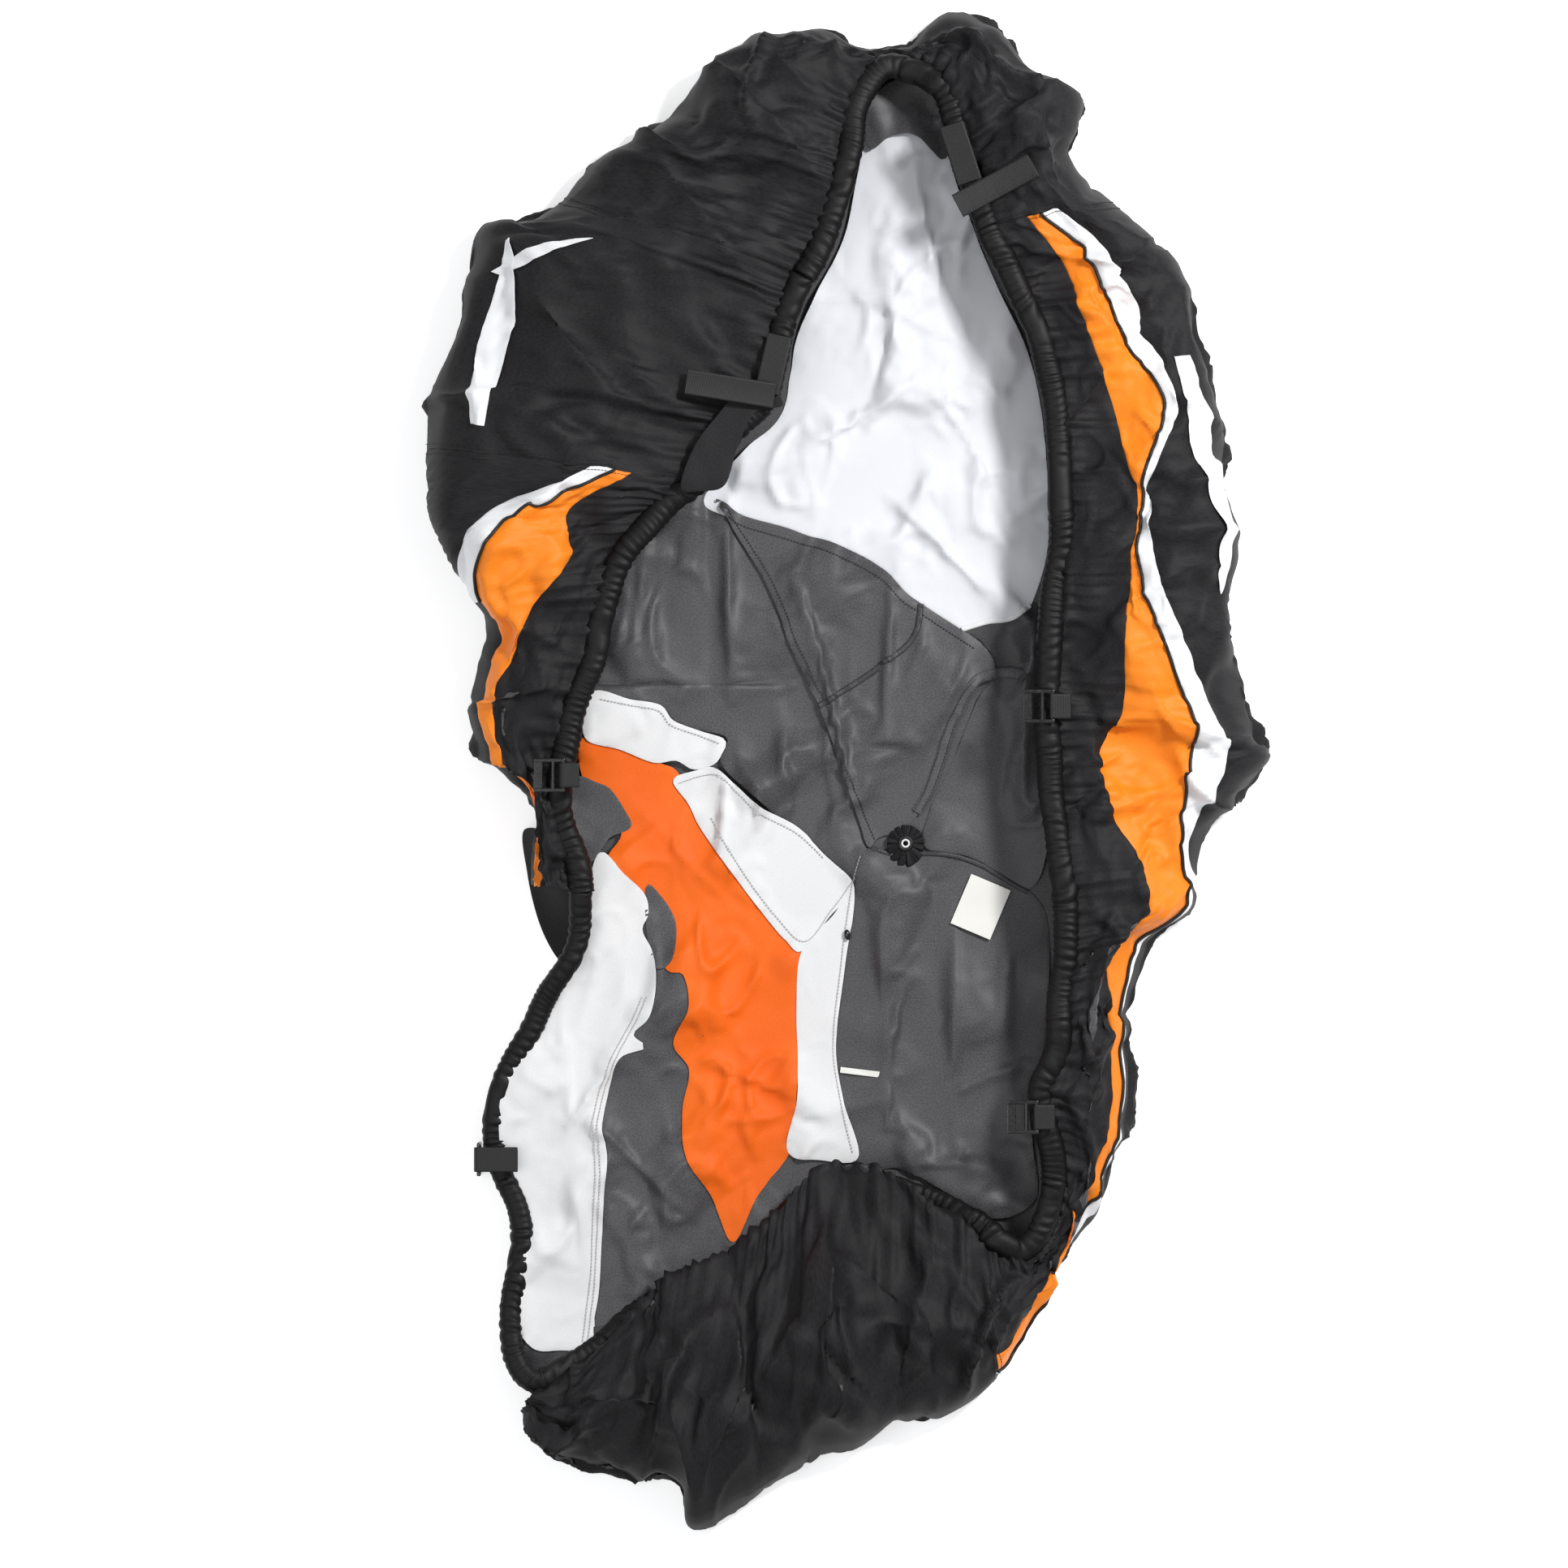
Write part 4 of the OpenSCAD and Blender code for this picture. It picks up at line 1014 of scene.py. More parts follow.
# %% Inner panels
FLAP_LOOP = smooth_loop([
    (-140, 280), (-110, 266), (-57, 250), (0, 224), (33, 203), (57, 179), (71, 169), (102, 148),
    (131, 129), (145, 108),
    (139, 94), (117, 78), (102, 47), (91, 9), (78, -30), (70, -47), (52, -62), (30, -70), (20, -80),
    (9, -49), (-15, 2), (-41, 65), (-57, 97), (-92, 205)])
INNER = (grey_coated, outer_cloth)
cut_panel("soft_liner_piece", smooth_loop([
    (-152, 276), (-110, 258), (-57, 242), (0, 216), (33, 195), (66, 166), (111, 142), (137, 150),
    (164, 155), (187, 172),
    (204, 230), (205, 290), (198, 370), (184, 430), (150, 508), (118, 590), (96, 655), (86, 690),
    (52, 706), (32, 694),
    (18, 668), (5, 610), (-8, 552), (-35, 500), (-58, 450), (-72, 378), (-105, 340), (-140, 300)]),
    (white_liner, white_inside), "soft_liner", 1.2)
cut_panel("front_lining_strip", smooth_loop([
    (19, 640), (44, 655), (70, 652), (97, 630), (104, 650), (92, 690), (66, 712), (36, 705),
    (14, 672)]),
    INNER, (), 9)
cut_panel("dark_facing", smooth_loop([(104, 146), (137, 150), (166, 156), (192, 174), (194, 120),
    (164, 106), (138, 96), (140, 124)]),
    (dark_coated, outer_cloth), (), 0.8)
cut_panel("centre_flap_piece", FLAP_LOOP, INNER, "centre_flap", 4.6)
cut_panel("left_inner_piece", smooth_loop([
    (-150, 290), (-88, 215), (-50, 98), (-34, 65), (-8, 2), (18, -62), (18, -82), (0, -118),
    (-93, -38), (-138, 4),
    (-134, 32), (-184, 42), (-204, 63), (-268, 80), (-262, 100), (-248, 165), (-225, 228),
    (-186, 266)]),
    INNER, "left_inner_panel", 0.4)
cut_panel("right_inner_piece", smooth_loop([
    (128, 138), (150, 104), (128, 72), (104, 9), (82, -44), (78, -80), (130, -92), (186, -120),
    (204, -60), (196, 10), (192, 70), (196, 168), (160, 148)]),
    INNER, "right_inner_panel", 0.4)
cut_panel("rear_inner_piece", smooth_loop([
    (20, -80), (50, -90), (80, -85), (130, -95), (186, -124), (206, -170), (202, -280), (186, -325),
    (190, -385), (192, -440),
    (150, -462), (104, -436), (55, -410), (8, -404), (-15, -280), (0, -140)]),
    INNER, "rear_inner_panel", 0.8)
print("inner panels cut")

# %% [markdown]
# At the rear left the wall is folded out and lies inside up. White bands, an orange panel and a
# grey one show there, joined as they are on the outside of the wall.
# %% Panels of the open wall
cut_panel("open_grey_piece", sharp_loop([
    (-212, -140), (-180, -196), (-60, -200), (-54, -300), (-56, -420), (-70, -500), (-120, -580),
    (-200, -620), (-262, -612),
    (-262, -480), (-255, -390), (-240, -290), (-222, -240), (-222, -180)]), INNER,
    "open_grey_panel", 0.6)
cut_panel("open_orange_piece", smooth_loop([
    (-276, 34), (-206, 8), (-178, -8), (-150, -70), (-100, -130), (-48, -180), (-56, -230),
    (-52, -300), (-56, -370),
    (-62, -400), (-92, -440), (-117, -487), (-140, -440), (-166, -400), (-170, -350), (-163, -310),
    (-180, -282),
    (-166, -245), (-172, -212), (-190, -206), (-211, -160), (-252, -100), (-238, -66), (-252, -30),
    (-276, -12)]),
    (orange_inside, orange_cloth), "open_orange_panel", 2.6)
cut_panel("open_lower_band_piece", smooth_loop([
    (3, -119), (-20, -150), (-52, -187), (-56, -250), (-52, -330), (-62, -392), (-30, -402),
    (10, -400), (-6, -340), (-15, -280),
    (-8, -200)]), (white_inside, white_cloth), "open_lower_band", 3.6)
cut_panel("open_middle_band_piece", smooth_loop([
    (-186, -11), (-164, -2), (-145, 1), (-120, -20), (-97, -40), (-57, -61), (-30, -86), (3, -119),
    (-24, -152), (-52, -187),
    (-68, -176), (-81, -162), (-120, -112), (-158, -61), (-172, -34)]), (white_inside, white_cloth),
    "open_middle_band", 4.4)
cut_panel("open_white_band_piece", smooth_loop([
    (-268, 79), (-230, 71), (-200, 65), (-187, 49), (-160, 38), (-135, 29), (-138, 14), (-146, 4),
    (-166, -1), (-184, 8),
    (-206, 6), (-240, 20), (-276, 34)]), (white_inside, white_cloth), "open_white_band",
    4.8)
cut_panel("open_white_piece", smooth_loop([
    (-260, -86), (-236, -108), (-214, -130), (-210, -150), (-216, -166), (-206, -186), (-201, -207),
    (-200, -232), (-206, -256),
    (-221, -272), (-208, -285), (-234, -296), (-243, -325), (-252, -368), (-249, -398),
    (-250, -427), (-254, -482),
    (-258, -538), (-263, -570), (-265, -593), (-296, -595), (-326, -592), (-344, -560),
    (-335, -490), (-338, -450), (-358, -400),
    (-358, -325), (-320, -255), (-286, -195), (-276, -140)]),
    (white_inside, white_cloth), "open_white_panel", 3.8)
cut_panel("open_grey_fold", smooth_loop([
    (-286, -10), (-262, -14), (-246, -24), (-228, -58), (-250, -70), (-270, -96), (-290, -60)]),
    INNER, (), 3.4)
cut_panel("open_grey_corner", smooth_loop([(-213, -122), (-196, -134), (-182, -160), (-184, -196),
    (-200, -205), (-210, -180)]),
    INNER, (), 3.6)
cut_panel("open_foot_strip", smooth_loop([
    (-338, -575), (-300, -578), (-250, -570), (-210, -575), (-220, -650), (-280, -665),
    (-325, -640), (-343, -608)]),
    (dark_coated, outer_cloth), (), 0.9)


def wall_end_height(x, y):
    """The last of the outer wall, falling from the hem to the floor."""
    inward = ease((x + 340 - 0.28 * (-115 - y)) / 62)
    return 6 + 46 * inward * ease((y + 235) / 150) + 2.5 * facets(np.column_stack([x, y]), 30, 91)


cut_panel("left_wall_end", smooth_loop([
    (-334, -60), (-300, -70), (-272, -118), (-286, -190), (-296, -196), (-310, -176), (-322, -146),
    (-331, -105)]),
    (outer_cloth, grey_coated), (), height=wall_end_height, step=3.0)
print("open wall cut")

# %% [markdown]
# Under all of it lies the crown. It carries everything, and only its edge and a few slivers
# between the panels can be seen.
# %% Crown
# %% Cut the crown
def crown_height(x, y):
    return 0.9 + 0.15 * waves(np.column_stack([x, y]), 160, 60, 6, 70)


def clipped(loop, line_y, keep_above):
    """The part of a loop above or below a line."""
    kept = []
    for p, q in zip(loop, np.roll(loop, -1, axis=0)):
        inside, after = (p[1] > line_y) == keep_above, (q[1] > line_y) == keep_above
        if inside:
            kept.append(p)
        if inside != after:
            kept.append(p + (q - p) * (line_y - p[1]) / (q[1] - p[1]))
    return np.array(kept)


CROWN_SEAM = -85
CROWN_LEFT = [(-285, -600), (-150, -560), (-100, -470), (-80, -380), (-75, -270), (-110, -200),
    (-200, -120), (-250, -100)]
foot_at = np.arange(0, LAST + 0.01, 0.25)
foot_ring = np.vstack([wall_base(foot_at, np.full(len(foot_at), -FOOT_SHARE))[:, :2], CROWN_LEFT])
for name, front in (("crown_front", True), ("crown_rear", False)):
    cut_panel(name + "_piece", clipped(foot_ring, CROWN_SEAM, front), INNER, name,
        0.0, 9.0, 0.0, crown_height)

# %% [markdown]
# ## Hem casing
# The hem is a tube of cloth, sewn round an elastic cord. The cord is shorter than the cloth, so
# the tube bunches into short pleats across it, none as wide or as deep as the next. It is
# made in the four lengths in which it is sewn to the wall. Each is a tube along the mouth, flatter
# than it is wide, and both of its ends are closed.
# %% Tubes along a path
def tube_piece(name, points, place_ring, around, material, node=(), body="cover"):
    """A closed tube along points. place_ring(along, angle) gives side and up shifts in mm
    for each corner."""
    columns = len(points) - 1
    run = np.concatenate([[0], np.cumsum(np.linalg.norm(np.diff(points, axis=0), axis=1))])
    along = np.gradient(points, axis=0)
    along /= np.linalg.norm(along, axis=1)[:, None]
    side = np.cross(along, [0, 0, 1])
    side /= np.maximum(np.linalg.norm(side, axis=1)[:, None], 1e-6)
    up = np.cross(side, along)
    work = bmesh.new()
    bmesh.ops.create_grid(work, x_segments=columns, y_segments=around, size=0.5)
    layer = work.loops.layers.uv.new("cut")
    work.verts.index_update()
    u = np.array([vert.co.x + 0.5 for vert in work.verts])
    v = np.array([vert.co.y + 0.5 for vert in work.verts])
    index = np.rint(u * columns).astype(int)
    out, rise = place_ring(run[index], v * FULL_TURN)
    places = points[index] + side[index] * out[:, None] + up[index] * rise[:, None]
    for vert in work.verts:
        for loop in vert.link_loops:
            loop[layer].uv = (run[index[vert.index]] * MM, v[vert.index] * 0.07)
        vert.co = places[vert.index] * MM
    bmesh.ops.remove_doubles(work, verts=work.verts[:], dist=0.00001)
    open_edges = [edge for edge in work.edges if edge.is_boundary]
    bmesh.ops.holes_fill(work, edges=open_edges, sides=0)
    bmesh.ops.recalc_face_normals(work, faces=work.faces[:])
    mesh = bpy.data.meshes.new(name)
    work.to_mesh(mesh)
    work.free()
    mesh.shade_smooth()
    mesh.materials.append(material)
    piece = bpy.data.objects.new(name, mesh)
    bpy.context.scene.collection.objects.link(piece)
    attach(piece, body)
    if node:
        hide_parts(node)
    return piece


# %% Hem casing in four lengths
OPEN_HEM = [(-342, -605, 32), (-348, -555, 22), (-337, -490, 17), (-340, -450, 16.5),
            (-360, -400, 16.5), (-360, -325, 16.5), (-322, -255, 23), (-288, -195, 38)]
HEM = np.vstack([hem_points(WALL), OPEN_HEM])
HEM_COUNT = len(HEM)


def hem_line(start, end, step=2.0):
    fine = through(HEM, np.linspace(start, end, int((end - start) * 60)), closed=True)
    run = np.concatenate([[0], np.cumsum(np.linalg.norm(np.diff(fine, axis=0), axis=1))])
    at = np.linspace(0, run[-1], int(run[-1] / step))
    line = np.column_stack([np.interp(at, run, fine[:, axis]) for axis in range(3)])
    sway = waves(np.column_stack([at, at * 0]), 160, 45, 8, int(start * 10) + 90)
    line[:, 2] += 1.5 * sway
    line[:, 0] += 1.6 * np.roll(sway, 9)
    return line


def hem_piece(name, start, end, seed, wide=12.8, tall=9.0):
    line = hem_line(start, end)
    dice = np.random.default_rng(seed)
    depths, skews = dice.uniform(0.2, 1.2, 512), dice.uniform(-5, 5, 512)

    def ring(run, angle):
        bend = run + 2.5 * np.sin(run / 37) + skews[(run / 60).astype(int) % 512] * np.sin(angle)
        phase = (bend / 9.6 + 1.3 * np.sin(run / 31) + 0.55 * np.sin(run / 13.1 + 1)
            + 0.35 * np.sin(angle + run / 19))
        number = np.floor(phase).astype(int) % 512
        ridge = np.sin(math.pi * (phase - np.floor(phase))) ** 0.7
        pleat = 3.4 * depths[number] * (ridge - 0.55)
        broad = 0.9 * np.sin(run / 21 + np.cos(angle))
        flat = np.abs(np.cos(angle)) ** 0.75 * np.sign(np.cos(angle))
        return flat * (wide + pleat * 0.7 + broad), np.sin(angle) * (tall + pleat + broad)

    piece = tube_piece(name + "_cloth", line, ring, 22, hem_cloth, name)
    print(name, ":", len(line), "rings")
    return piece


hem_piece("hem_casing_front", NOSE_LEFT, NOSE_RIGHT, 1)
hem_piece("hem_casing_right", NOSE_RIGHT, TAIL, 2)
hem_piece("hem_casing_rear", TAIL, HEM_COUNT, 3, 11.2, 7.6)
hem_piece("hem_casing_left", 0, NOSE_LEFT, 4)

# %% [markdown]
# ## Seams and stitches
# A row of stitches is what tells a sewn thing from a moulded one. Each stitch here is a small
# block of thread that lies on the cloth. An overlocked edge is a narrow band whose thread runs
# to and fro, so it is a ribbon with a zigzag relief. Piping is a cord sewn into the seam between
# white and orange.
# %% Stitches, overlocked edges and piping
def evenly(points, step):
    run = np.concatenate([[0], np.cumsum(np.linalg.norm(np.diff(points, axis=0), axis=1))])
    at = np.arange(step / 2, run[-1], step)
    return np.column_stack([np.interp(at, run, points[:, axis])
        for axis in range(points.shape[1])]), at


def stitches(name, points, thread, spacing=3.6, length=2.5, width=0.7, body="cover"):
    centres, _ = evenly(points, spacing)
    along = np.gradient(centres, axis=0)
    along /= np.maximum(np.linalg.norm(along, axis=1)[:, None], 1e-9)
    work = bmesh.new()
    for centre, direction in zip(centres, along):
        turn = Vector(direction).to_track_quat("X", "Z").to_matrix().to_4x4()
        turn.translation = Vector(centre * MM)
        turn = turn @ Matrix.Diagonal((length * MM, width * MM, width * MM, 1))
        bmesh.ops.create_cube(work, size=1, matrix=turn)
    mesh = bpy.data.meshes.new(name)
    work.to_mesh(mesh)
    work.free()
    mesh.materials.append(thread)
    piece = bpy.data.objects.new(name, mesh)
    bpy.context.scene.collection.objects.link(piece)
    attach(piece, body)
    return piece


def floor_line(points, lift, step=3.0):
    points = np.asarray(points, float)
    at = np.linspace(0, len(points) - 1, 40 * len(points))
    line, _ = evenly(through(points, at), step)
    return on_floor(line[:, 0], line[:, 1], lift)


def overlocked(name, points, width, cloth, lift=0.9):
    centres, at = evenly(np.asarray(points, float), 0.8)

    def place(u, v):
        index = np.rint(u * (len(centres) - 1)).astype(int)
        direction = np.gradient(centres[:, :2], axis=0)[index]
        direction /= np.maximum(np.linalg.norm(direction, axis=1)[:, None], 1e-9)
        across = np.column_stack([-direction[:, 1], direction[:, 0]]) * ((v - 0.5) * width)[:, None]
        xy = centres[index, :2] + across
        zigzag = 0.45 * np.abs(np.sin(at[index] * math.pi / 2.4 + 2.2 * np.abs(v - 0.5)))
        edge = -0.9 * np.abs(2 * v - 1) ** 4
        points = np.column_stack([xy, centres[index, 2] + lift + zigzag + edge])
        return points, np.column_stack([at[index], v * width])

    piece = cloth_piece(name, len(centres) - 1, 6, place, (cloth,), thickness=0.6)
    return piece


FLAP_EDGE = [(-136, 274), (-90, 203), (-55, 97), (-39, 65), (-13, 2), (11, -49), (22, -74)]
FLAP_TOP = [(-128, 270), (-108, 260), (-57, 244), (-2, 219), (30, 199), (54, 176), (70, 165),
    (99, 145), (127, 127)]
stitches("flap_edge_stitches", floor_line(np.array(FLAP_EDGE) + [5, 2], 5.6), thread_dark)
stitches("flap_top_stitches", floor_line(np.array(FLAP_TOP) - [1, 5], 5.6), thread_dark)
overlocked("flap_cross_seam", floor_line([(71, 169), (67, 142), (54, 124), (30, 108), (-4, 86),
    (-41, 65)], 4.8, 1.0), 6.5, dark_coated)
overlocked("liner_edge_seam", floor_line([(111, 142), (137, 150), (164, 155), (187, 172)], 1.8,
    1.0), 5.5, white_inside)
overlocked("flap_right_seam", floor_line([
    (178, 93), (165, 99), (131, 94), (117, 78), (102, 47), (91, 9), (80, -24), (68, -45)], 4.9,
    1.0), 11, grey_coated, 0.8)
for shift in (-3.8, 3.8):
    stitches("flap_right_stitches_" + ("out" if shift > 0 else "in"), floor_line(np.array([
        (131, 94), (117, 78), (102, 47), (91, 9), (80, -24), (70, -43)]) + [shift, 0], 6.2),
        thread_dark)
overlocked("rear_top_seam", floor_line([(22, -81), (50, -88), (80, -86), (130, -96), (184, -124)],
    1.6, 1.0), 5, dark_coated)
stitches("rear_left_stitches", floor_line([(12, -88), (-4, -140), (-12, -200), (-18, -280),
    (-8, -345), (5, -398)], 4.8), thread_light)
for offset, name in ((5, "a"), (10, "b")):
    stitches("white_right_stitches_" + name, floor_line(np.array([
        (-203, -232), (-212, -256), (-222, -275), (-236, -305), (-252, -368), (-250, -427),
        (-254, -482), (-258, -538), (-264, -588)
    ]) - [offset, 0], 5.0), thread_light)
stitches("middle_band_low_stitches", floor_line(np.array([
    (-152, -52), (-120, -104), (-81, -156), (-52, -181), (-24, -148), (2, -116)]) + [3, 4], 5.4),
    thread_light)
stitches("middle_band_high_stitches", floor_line(np.array([
    (-182, -14), (-145, -5), (-120, -25), (-97, -46), (-57, -67), (-28, -92)]) + [0, -1], 5.4),
    thread_light)
stitches("white_band_stitches",
    floor_line([(-262, 72), (-230, 65), (-202, 59), (-189, 44), (-160, 33), (-138, 24)], 6.0),
    thread_light)


def round_ring(radius):
    def ring(run, angle):
        return radius * np.cos(angle), radius * np.sin(angle)
    return ring


def wall_line(start, end, share, lift, step=2.5):
    ks = station_steps(start, end, step)
    return on_wall(ks, share(ks), lift)


def seam_at(seam, shift=0.0):
    def share(ks):
        return seam_share(ks, seam) + shift
    return share


for name, start, end in (("left_piping", LEFT_WHITE, SHOULDER), ("right_piping", NOSE_RIGHT, TAIL)):
    piece = tube_piece(name + "_cord", wall_line(start, end, seam_at(PIPE), 0.9), round_ring(1.7),
        8, piping_black, name)
for name, k in (("shoulder", SHOULDER), ("nose_left", NOSE_LEFT), ("nose_right", NOSE_RIGHT),
        ("tail", TAIL)):
    for side, shift in (("a", -0.016), ("b", 0.016)):
        shares = np.linspace(-0.2, 0.97, 160)
        stitches("seam_" + name + "_" + side, on_wall(np.full(160, k + shift * 4), shares, 0.25),
            thread_dark, 3.6, 2.5, 0.6)
print("seams sewn")

# %% Blades on the outside
BLADES = [
    ("right_blade", NOSE_RIGHT + 2.2, NOSE_RIGHT + 5.2, 0.20, 0.10, 15.0, ("right_blade",)),
    ("left_blade", SHOULDER + 0.4, NOSE_LEFT - 1.2, 0.20, 0.12, 17.0, ("left_blade",)),
    ("left_blade_small", NOSE_LEFT - 1.8, NOSE_LEFT - 0.7, 0.10, 0.34, 11.0, ()),
]


def blade(name, start, end, share_start, share_end, half_width, node):
    """A white inset that narrows to a point at its far end, laid on the wall."""
    ks = station_steps(start, end, 4.0)
    rows = through(WALL, ks)
    span = np.linalg.norm(rows[:, 2:4] - rows[:, 0:2], axis=1) * rim_share(rows)

    def place(u, v):
        k = np.interp(u, np.linspace(0, 1, len(ks)), ks)
        width = half_width * np.sin(math.pi * np.clip(0.16 + 0.84 * u, 0, 1)) ** 0.7 + 0.4
        share = (share_start + (share_end - share_start) * u
            + (2 * v - 1) * width / np.interp(k, ks, span) * 0.8)
        return on_wall(k, share, 2.3), np.column_stack([u * (end - start) * 60, v * 2 * half_width])

    piece = cloth_piece(name + "_cloth", len(ks) - 1, 9, place, (white_cloth, white_inside), node,
        turned=True)
    return piece


for row in BLADES:
    blade(*row)
print(len(BLADES), "blades")

# %% [markdown]
# ## Port, bead and labels
# The gathered port closes round a small ring: a cord through the cloth's edge pulls it into
# radial ruffles. The bead is a bit of black cord end. The labels are satin tape, sewn at one end
# only, so they curl a little and can be lifted. Both are left blank.
# %% Port and bead
PORT = np.array([58.0, -74.0])


def ruffle(u, v):
    angle = u * FULL_TURN
    reach = 6.5 + 12.5 * v + 5 * v * np.clip(-np.sin(angle), 0, 1) ** 2
    fold = (1.7 * v ** 0.6 * np.sin(13 * angle + 0.8 * np.sin(3 * angle))
        + 0.8 * v * np.sin(29 * angle))
    xy = PORT + np.column_stack([np.cos(angle), np.sin(angle)]) * reach[:, None]
    lip = 9.2 - 2.2 * v ** 1.3
    return np.column_stack([xy, lip + fold]), np.column_stack([u * 80, v * 14])


cloth_piece("port_gather_cloth", 150, 9, ruffle, (outer_cloth, grey_coated), "port_gather")


def turned_ring(name, centre, reach, tube, material, node=(), body="cover"):
    """A round bar bent into a ring: a circle of section, spun about the ring's axis."""
    work = bmesh.new()
    made = bmesh.ops.create_circle(work, segments=14, radius=tube * MM)
    spin = Matrix.Translation((reach * MM, 0, 0)) @ Matrix.Rotation(math.pi / 2, 4, "X")
    bmesh.ops.transform(work, matrix=spin, verts=made["verts"])
    bmesh.ops.spin(work, geom=work.verts[:] + work.edges[:], cent=(0, 0, 0), axis=(0, 0, 1),
        angle=FULL_TURN,
                   steps=40, use_merge=True)
    bmesh.ops.recalc_face_normals(work, faces=work.faces[:])
    bmesh.ops.translate(work, vec=Vector(centre) * MM, verts=work.verts[:])
    mesh = bpy.data.meshes.new(name)
    work.to_mesh(mesh)
    work.free()
    mesh.shade_smooth()
    mesh.materials.append(material)
    piece = bpy.data.objects.new(name, mesh)
    bpy.context.scene.collection.objects.link(piece)
    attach(piece, body)
    if node:
        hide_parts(node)
    return piece


turned_ring("port_ring_round", (58, -74, 9.5), 6.2, 2.0, piping_black, "port_ring")
turned_ring("port_grommet", (58, -74, 11.2), 3.6, 1.0, white_inside)
work = bmesh.new()
bmesh.ops.create_uvsphere(work, u_segments=24, v_segments=14, radius=1)
turn = Matrix.Translation(Vector((-2, -168, 8)) * MM) @ Matrix.Rotation(
    math.radians(10), 4, "Z") @ Matrix.Diagonal(
    (0.0032, 0.0056, 0.003, 1))
bmesh.ops.transform(work, matrix=turn, verts=work.verts[:])
bead_mesh = bpy.data.meshes.new("seam_bead_round")
work.to_mesh(bead_mesh)
work.free()
bead_mesh.shade_smooth()
bead_mesh.materials.append(glass_black)
bead = bpy.data.objects.new("seam_bead_round", bead_mesh)
bpy.context.scene.collection.objects.link(bead)
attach(bead, "cover")
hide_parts("seam_bead")
print("port and bead made")


# %% Labels
def tape(name, corner, turn, length, width, curl, material, node, body, z=4.9):
    """A flat label from its sewn end at corner, turned about Z, its free end curling up."""
    heading = np.array([math.cos(math.radians(turn)), math.sin(math.radians(turn))])
    beside = np.array([-heading[1], heading[0]])

    def place(u, v):
        xy = (np.array(corner) + heading * (u * length)[:, None]
            + beside * ((v - 0.5) * width)[:, None])
        rise = z + curl * u ** 2 + 0.35 * np.sin(u * 7 + v * 2)
        return np.column_stack([xy, rise]), np.column_stack([u * length, v * width])

    piece = cloth_piece(name, 26, 16, place, (material,), node, body, 0.35)
    return piece


tape("care_label_tape", (146, -114), -113, 55, 44, 2.2, label_cloth, "care_label", "care_label")
tape("size_tag_tape", (-9, -307), -7, 46, 6, 1.0, label_cloth, "size_tag", "size_tag")

# %% [markdown]
# ## Webbing and buckles
# The straps are 25 mm webbing, woven with ribs across it. Each buckle hangs in a loop of it that
# passes round the buckle's end bar and is sewn to the hem, so the buckle can swing on its bar.
# The ladder-lock is moulded: two rails, two bars across, and a tab to lift with a finger.
# %% Webbing
WEB = 25.0


def webbing(name, line, node, body, bow=0.0):
    """Ribbed webbing along a line of 3-D points, its width level."""
    centres, at = evenly(np.asarray(line, float), 0.42)

    def place(u, v):
        index = np.rint(u * (len(centres) - 1)).astype(int)
        along = np.gradient(centres, axis=0)[index]
        along /= np.maximum(np.linalg.norm(along, axis=1)[:, None], 1e-9)
        across = np.tile(side_of(line), (len(index), 1))
        normal = np.cross(along, across)
        rib = 0.22 * np.sin(at[index] * FULL_TURN / 1.7) * (np.abs(2 * v - 1) < 0.9)
        lift = rib + bow * (1 - (2 * v - 1) ** 2)
        points = centres[index] + across * ((v - 0.5) * WEB)[:, None] - normal * lift[:, None]
        return points, np.column_stack([at[index], v * WEB])

    piece = cloth_piece(name, len(centres) - 1, 14, place, (webbing_black,), node, body, 1.5)
    return piece


def side_of(line):
    start, end = np.asarray(line[0], float), np.asarray(line[-1], float)
    if np.linalg.norm((end - start)[:2]) < 4:
        middle = np.asarray(line[len(line) // 2], float)
        end = middle
    heading = (end - start)[:2] / np.linalg.norm((end - start)[:2])
    return np.array([-heading[1], heading[0], 0.0])


def strip_line(at, turn, rise, length, sag):
    """From a point, turned about Z and tipped up, with a soft bend on the way."""
    share = np.linspace(0, 1, 30)
    heading = np.array([math.cos(math.radians(turn)), math.sin(math.radians(turn))])
    up = math.sin(math.radians(rise)) * length * share + sag * np.sin(math.pi * share)
    out = math.cos(math.radians(rise)) * length * share
    return np.column_stack([at[0] + heading[0] * out, at[1] + heading[1] * out, at[2] + 0.8 + up])


webbing(
    "side_strap_loop_web", strip_line((-71, 443, 106), 257, 0, 60, 1.5), "side_strap_loop", "cover")
webbing("side_strap_tail_web", strip_line((-76, 381, 108.5), 171, 5, 92, 2.0), "side_strap_tail",
    "side_strap_tail", 0.6)
webbing("front_strap_loop_web", strip_line((103, 658, 98.5), -72, 0, 62, 1.5), "front_strap_loop",
    "cover")
webbing("front_strap_tail_web", strip_line((109, 574, 104), 28, 12, 88, -2.0), "front_strap_tail",
    "front_strap_tail", 0.6)


def gusset_height(x, y):
    return 102.9 + 1.5 * facets(np.column_stack([x, y]), 26, 81) - 2.5 * ease((300 - y) / 30)


cut_panel("side_gusset_flap", smooth_loop([
    (-68, 372), (-96, 365), (-114, 330), (-127, 291), (-150, 285), (-172, 288), (-158, 330),
    (-132, 365), (-108, 392), (-84, 396)]),
    (outer_cloth, grey_coated), "side_gusset", height=gusset_height, step=3.0)

# %% Buckles
BUCKLES = {
    "left": ((-292, -4, 82), 180, 0, 16), "open": ((-380, -398, 33), 180, 90, 40),
    "right": ((206, 66, 104), 180, 0, 18), "rear": ((190, -352, 92), 180, 0, 18),
}
BAR, RAIL, BUCKLE_L, SLOT_W, TAB = 4.0, 4.0, 32.0, 6.5, 9.0


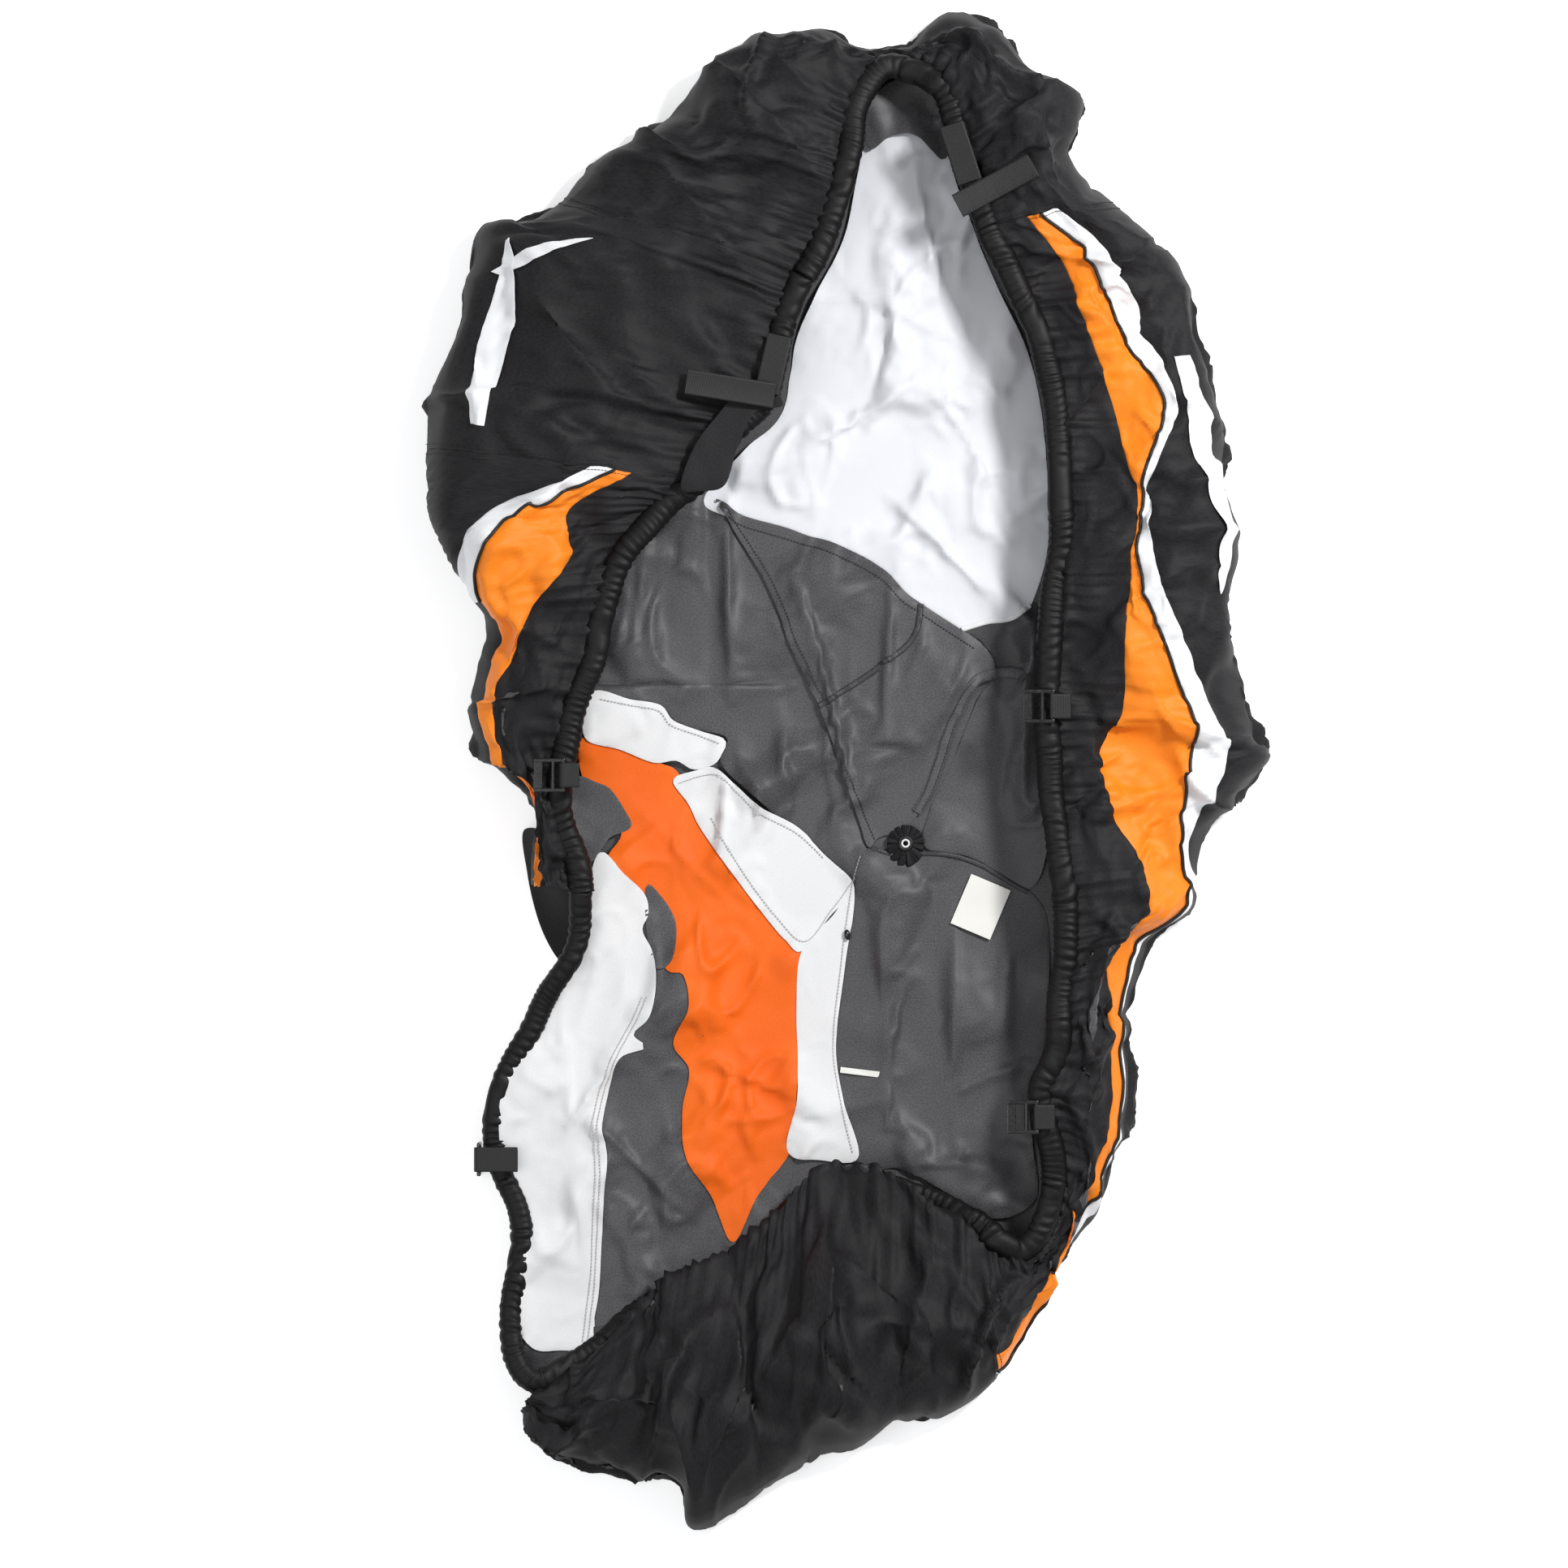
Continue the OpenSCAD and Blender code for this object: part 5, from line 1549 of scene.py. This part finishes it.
def block(work, low, high, bevel):
    low, high = np.array(low, float), np.array(high, float)
    place = (Matrix.Translation(Vector((low + high) / 2
        * MM)) @ Matrix.Diagonal((*((high - low) * MM), 1)))
    made = bmesh.ops.create_cube(work, size=1, matrix=place)
    edges = list({edge for vert in made["verts"] for edge in vert.link_edges})
    bmesh.ops.bevel(work, geom=edges, offset=bevel * MM, segments=3, affect="EDGES", profile=0.5,
        material=-1)


for side, (place, turn, tip, length) in BUCKLES.items():
    half = WEB / 2 + 0.6
    work = bmesh.new()
    for way in (-1, 1):
        middle = way * (half + RAIL / 2)
        block(work, (-BAR / 2, middle - RAIL / 2, -BAR / 2),
            (BUCKLE_L - BAR / 2, middle + RAIL / 2, BAR / 2), 1.1)
    block(work, (BUCKLE_L - BAR / 2 - TAB, -half - 1, -BAR / 2),
        (BUCKLE_L - BAR / 2, half + 1, BAR * 0.2), 0.9)
    for rib in range(3):
        x = BUCKLE_L - BAR / 2 - 2.2 - 2.4 * rib
        block(work, (x - 0.6, -half + 3, BAR * 0.1), (x + 0.6, half - 3, BAR * 0.34), 0.25)
    for x in (0, SLOT_W + BAR):
        turned = Matrix.Translation((x * MM, 0, 0)) @ Matrix.Rotation(math.pi / 2, 4, "X")
        bmesh.ops.create_cone(work, cap_ends=True, segments=24, radius1=BAR / 2 * MM,
            radius2=BAR / 2 * MM,
                              depth=(2 * half + RAIL) * MM, matrix=turned)
    where = Matrix.Translation(Vector(place) * MM) @ Matrix.Rotation(math.radians(turn), 4, "Z")
    bmesh.ops.transform(work, matrix=where @ Matrix.Rotation(math.radians(tip), 4, "Y"),
        verts=work.verts[:])
    mesh = bpy.data.meshes.new(side + "_ladder_lock")
    work.to_mesh(mesh)
    work.free()
    mesh.materials.append(buckle_nylon)
    lock = bpy.data.objects.new(side + "_ladder_lock", mesh)
    bpy.context.scene.collection.objects.link(lock)
    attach(lock, side + "_buckle")
    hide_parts(side + "_buckle")
    reach = BAR / 2 + 0.4 + 0.8
    arc = np.linspace(-math.pi / 2, math.pi / 2, 14)
    local = ([(-length, -reach)] + [(reach * math.cos(a), reach * math.sin(a)) for a in arc]
        + [(-length, reach)])
    heading = np.array([math.cos(math.radians(turn)), math.sin(math.radians(turn))])
    hairpin = np.array([(place[0] + heading[0] * x, place[1] + heading[1] * x, place[2] + z) for x,
        z in local])
    webbing(side + "_buckle_web", hairpin, side + "_buckle_loop", "cover")
print("four buckles in their loops")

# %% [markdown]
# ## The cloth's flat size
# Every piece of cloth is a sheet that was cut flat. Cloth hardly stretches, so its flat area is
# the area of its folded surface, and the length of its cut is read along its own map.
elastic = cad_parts["hem_elastic"]
elastic.data.materials.clear()
elastic.data.materials.append(elastic_black)
for piece, faces in CLOTHS:
    mesh = piece.data
    area = np.zeros(len(mesh.polygons))
    mesh.polygons.foreach_get("area", area)
    spread = np.zeros(len(mesh.loops) * 2)
    mesh.uv_layers["cut"].data.foreach_get("uv", spread)
    extent = np.ptp(spread.reshape(-1, 2), axis=0)
    total, longer = float(area.sum()), float(extent.max())
    width = min(max(float(extent.min()), total / longer * 1.02), total / longer * 3)
    if width < 0.012:
        continue
    held = "gathered" if piece.name.endswith("_cloth") else "laid"
    print(piece.name, "cut from", round(width, 3), "x", round(longer, 3), "m,", round(total, 4),
        "m2")
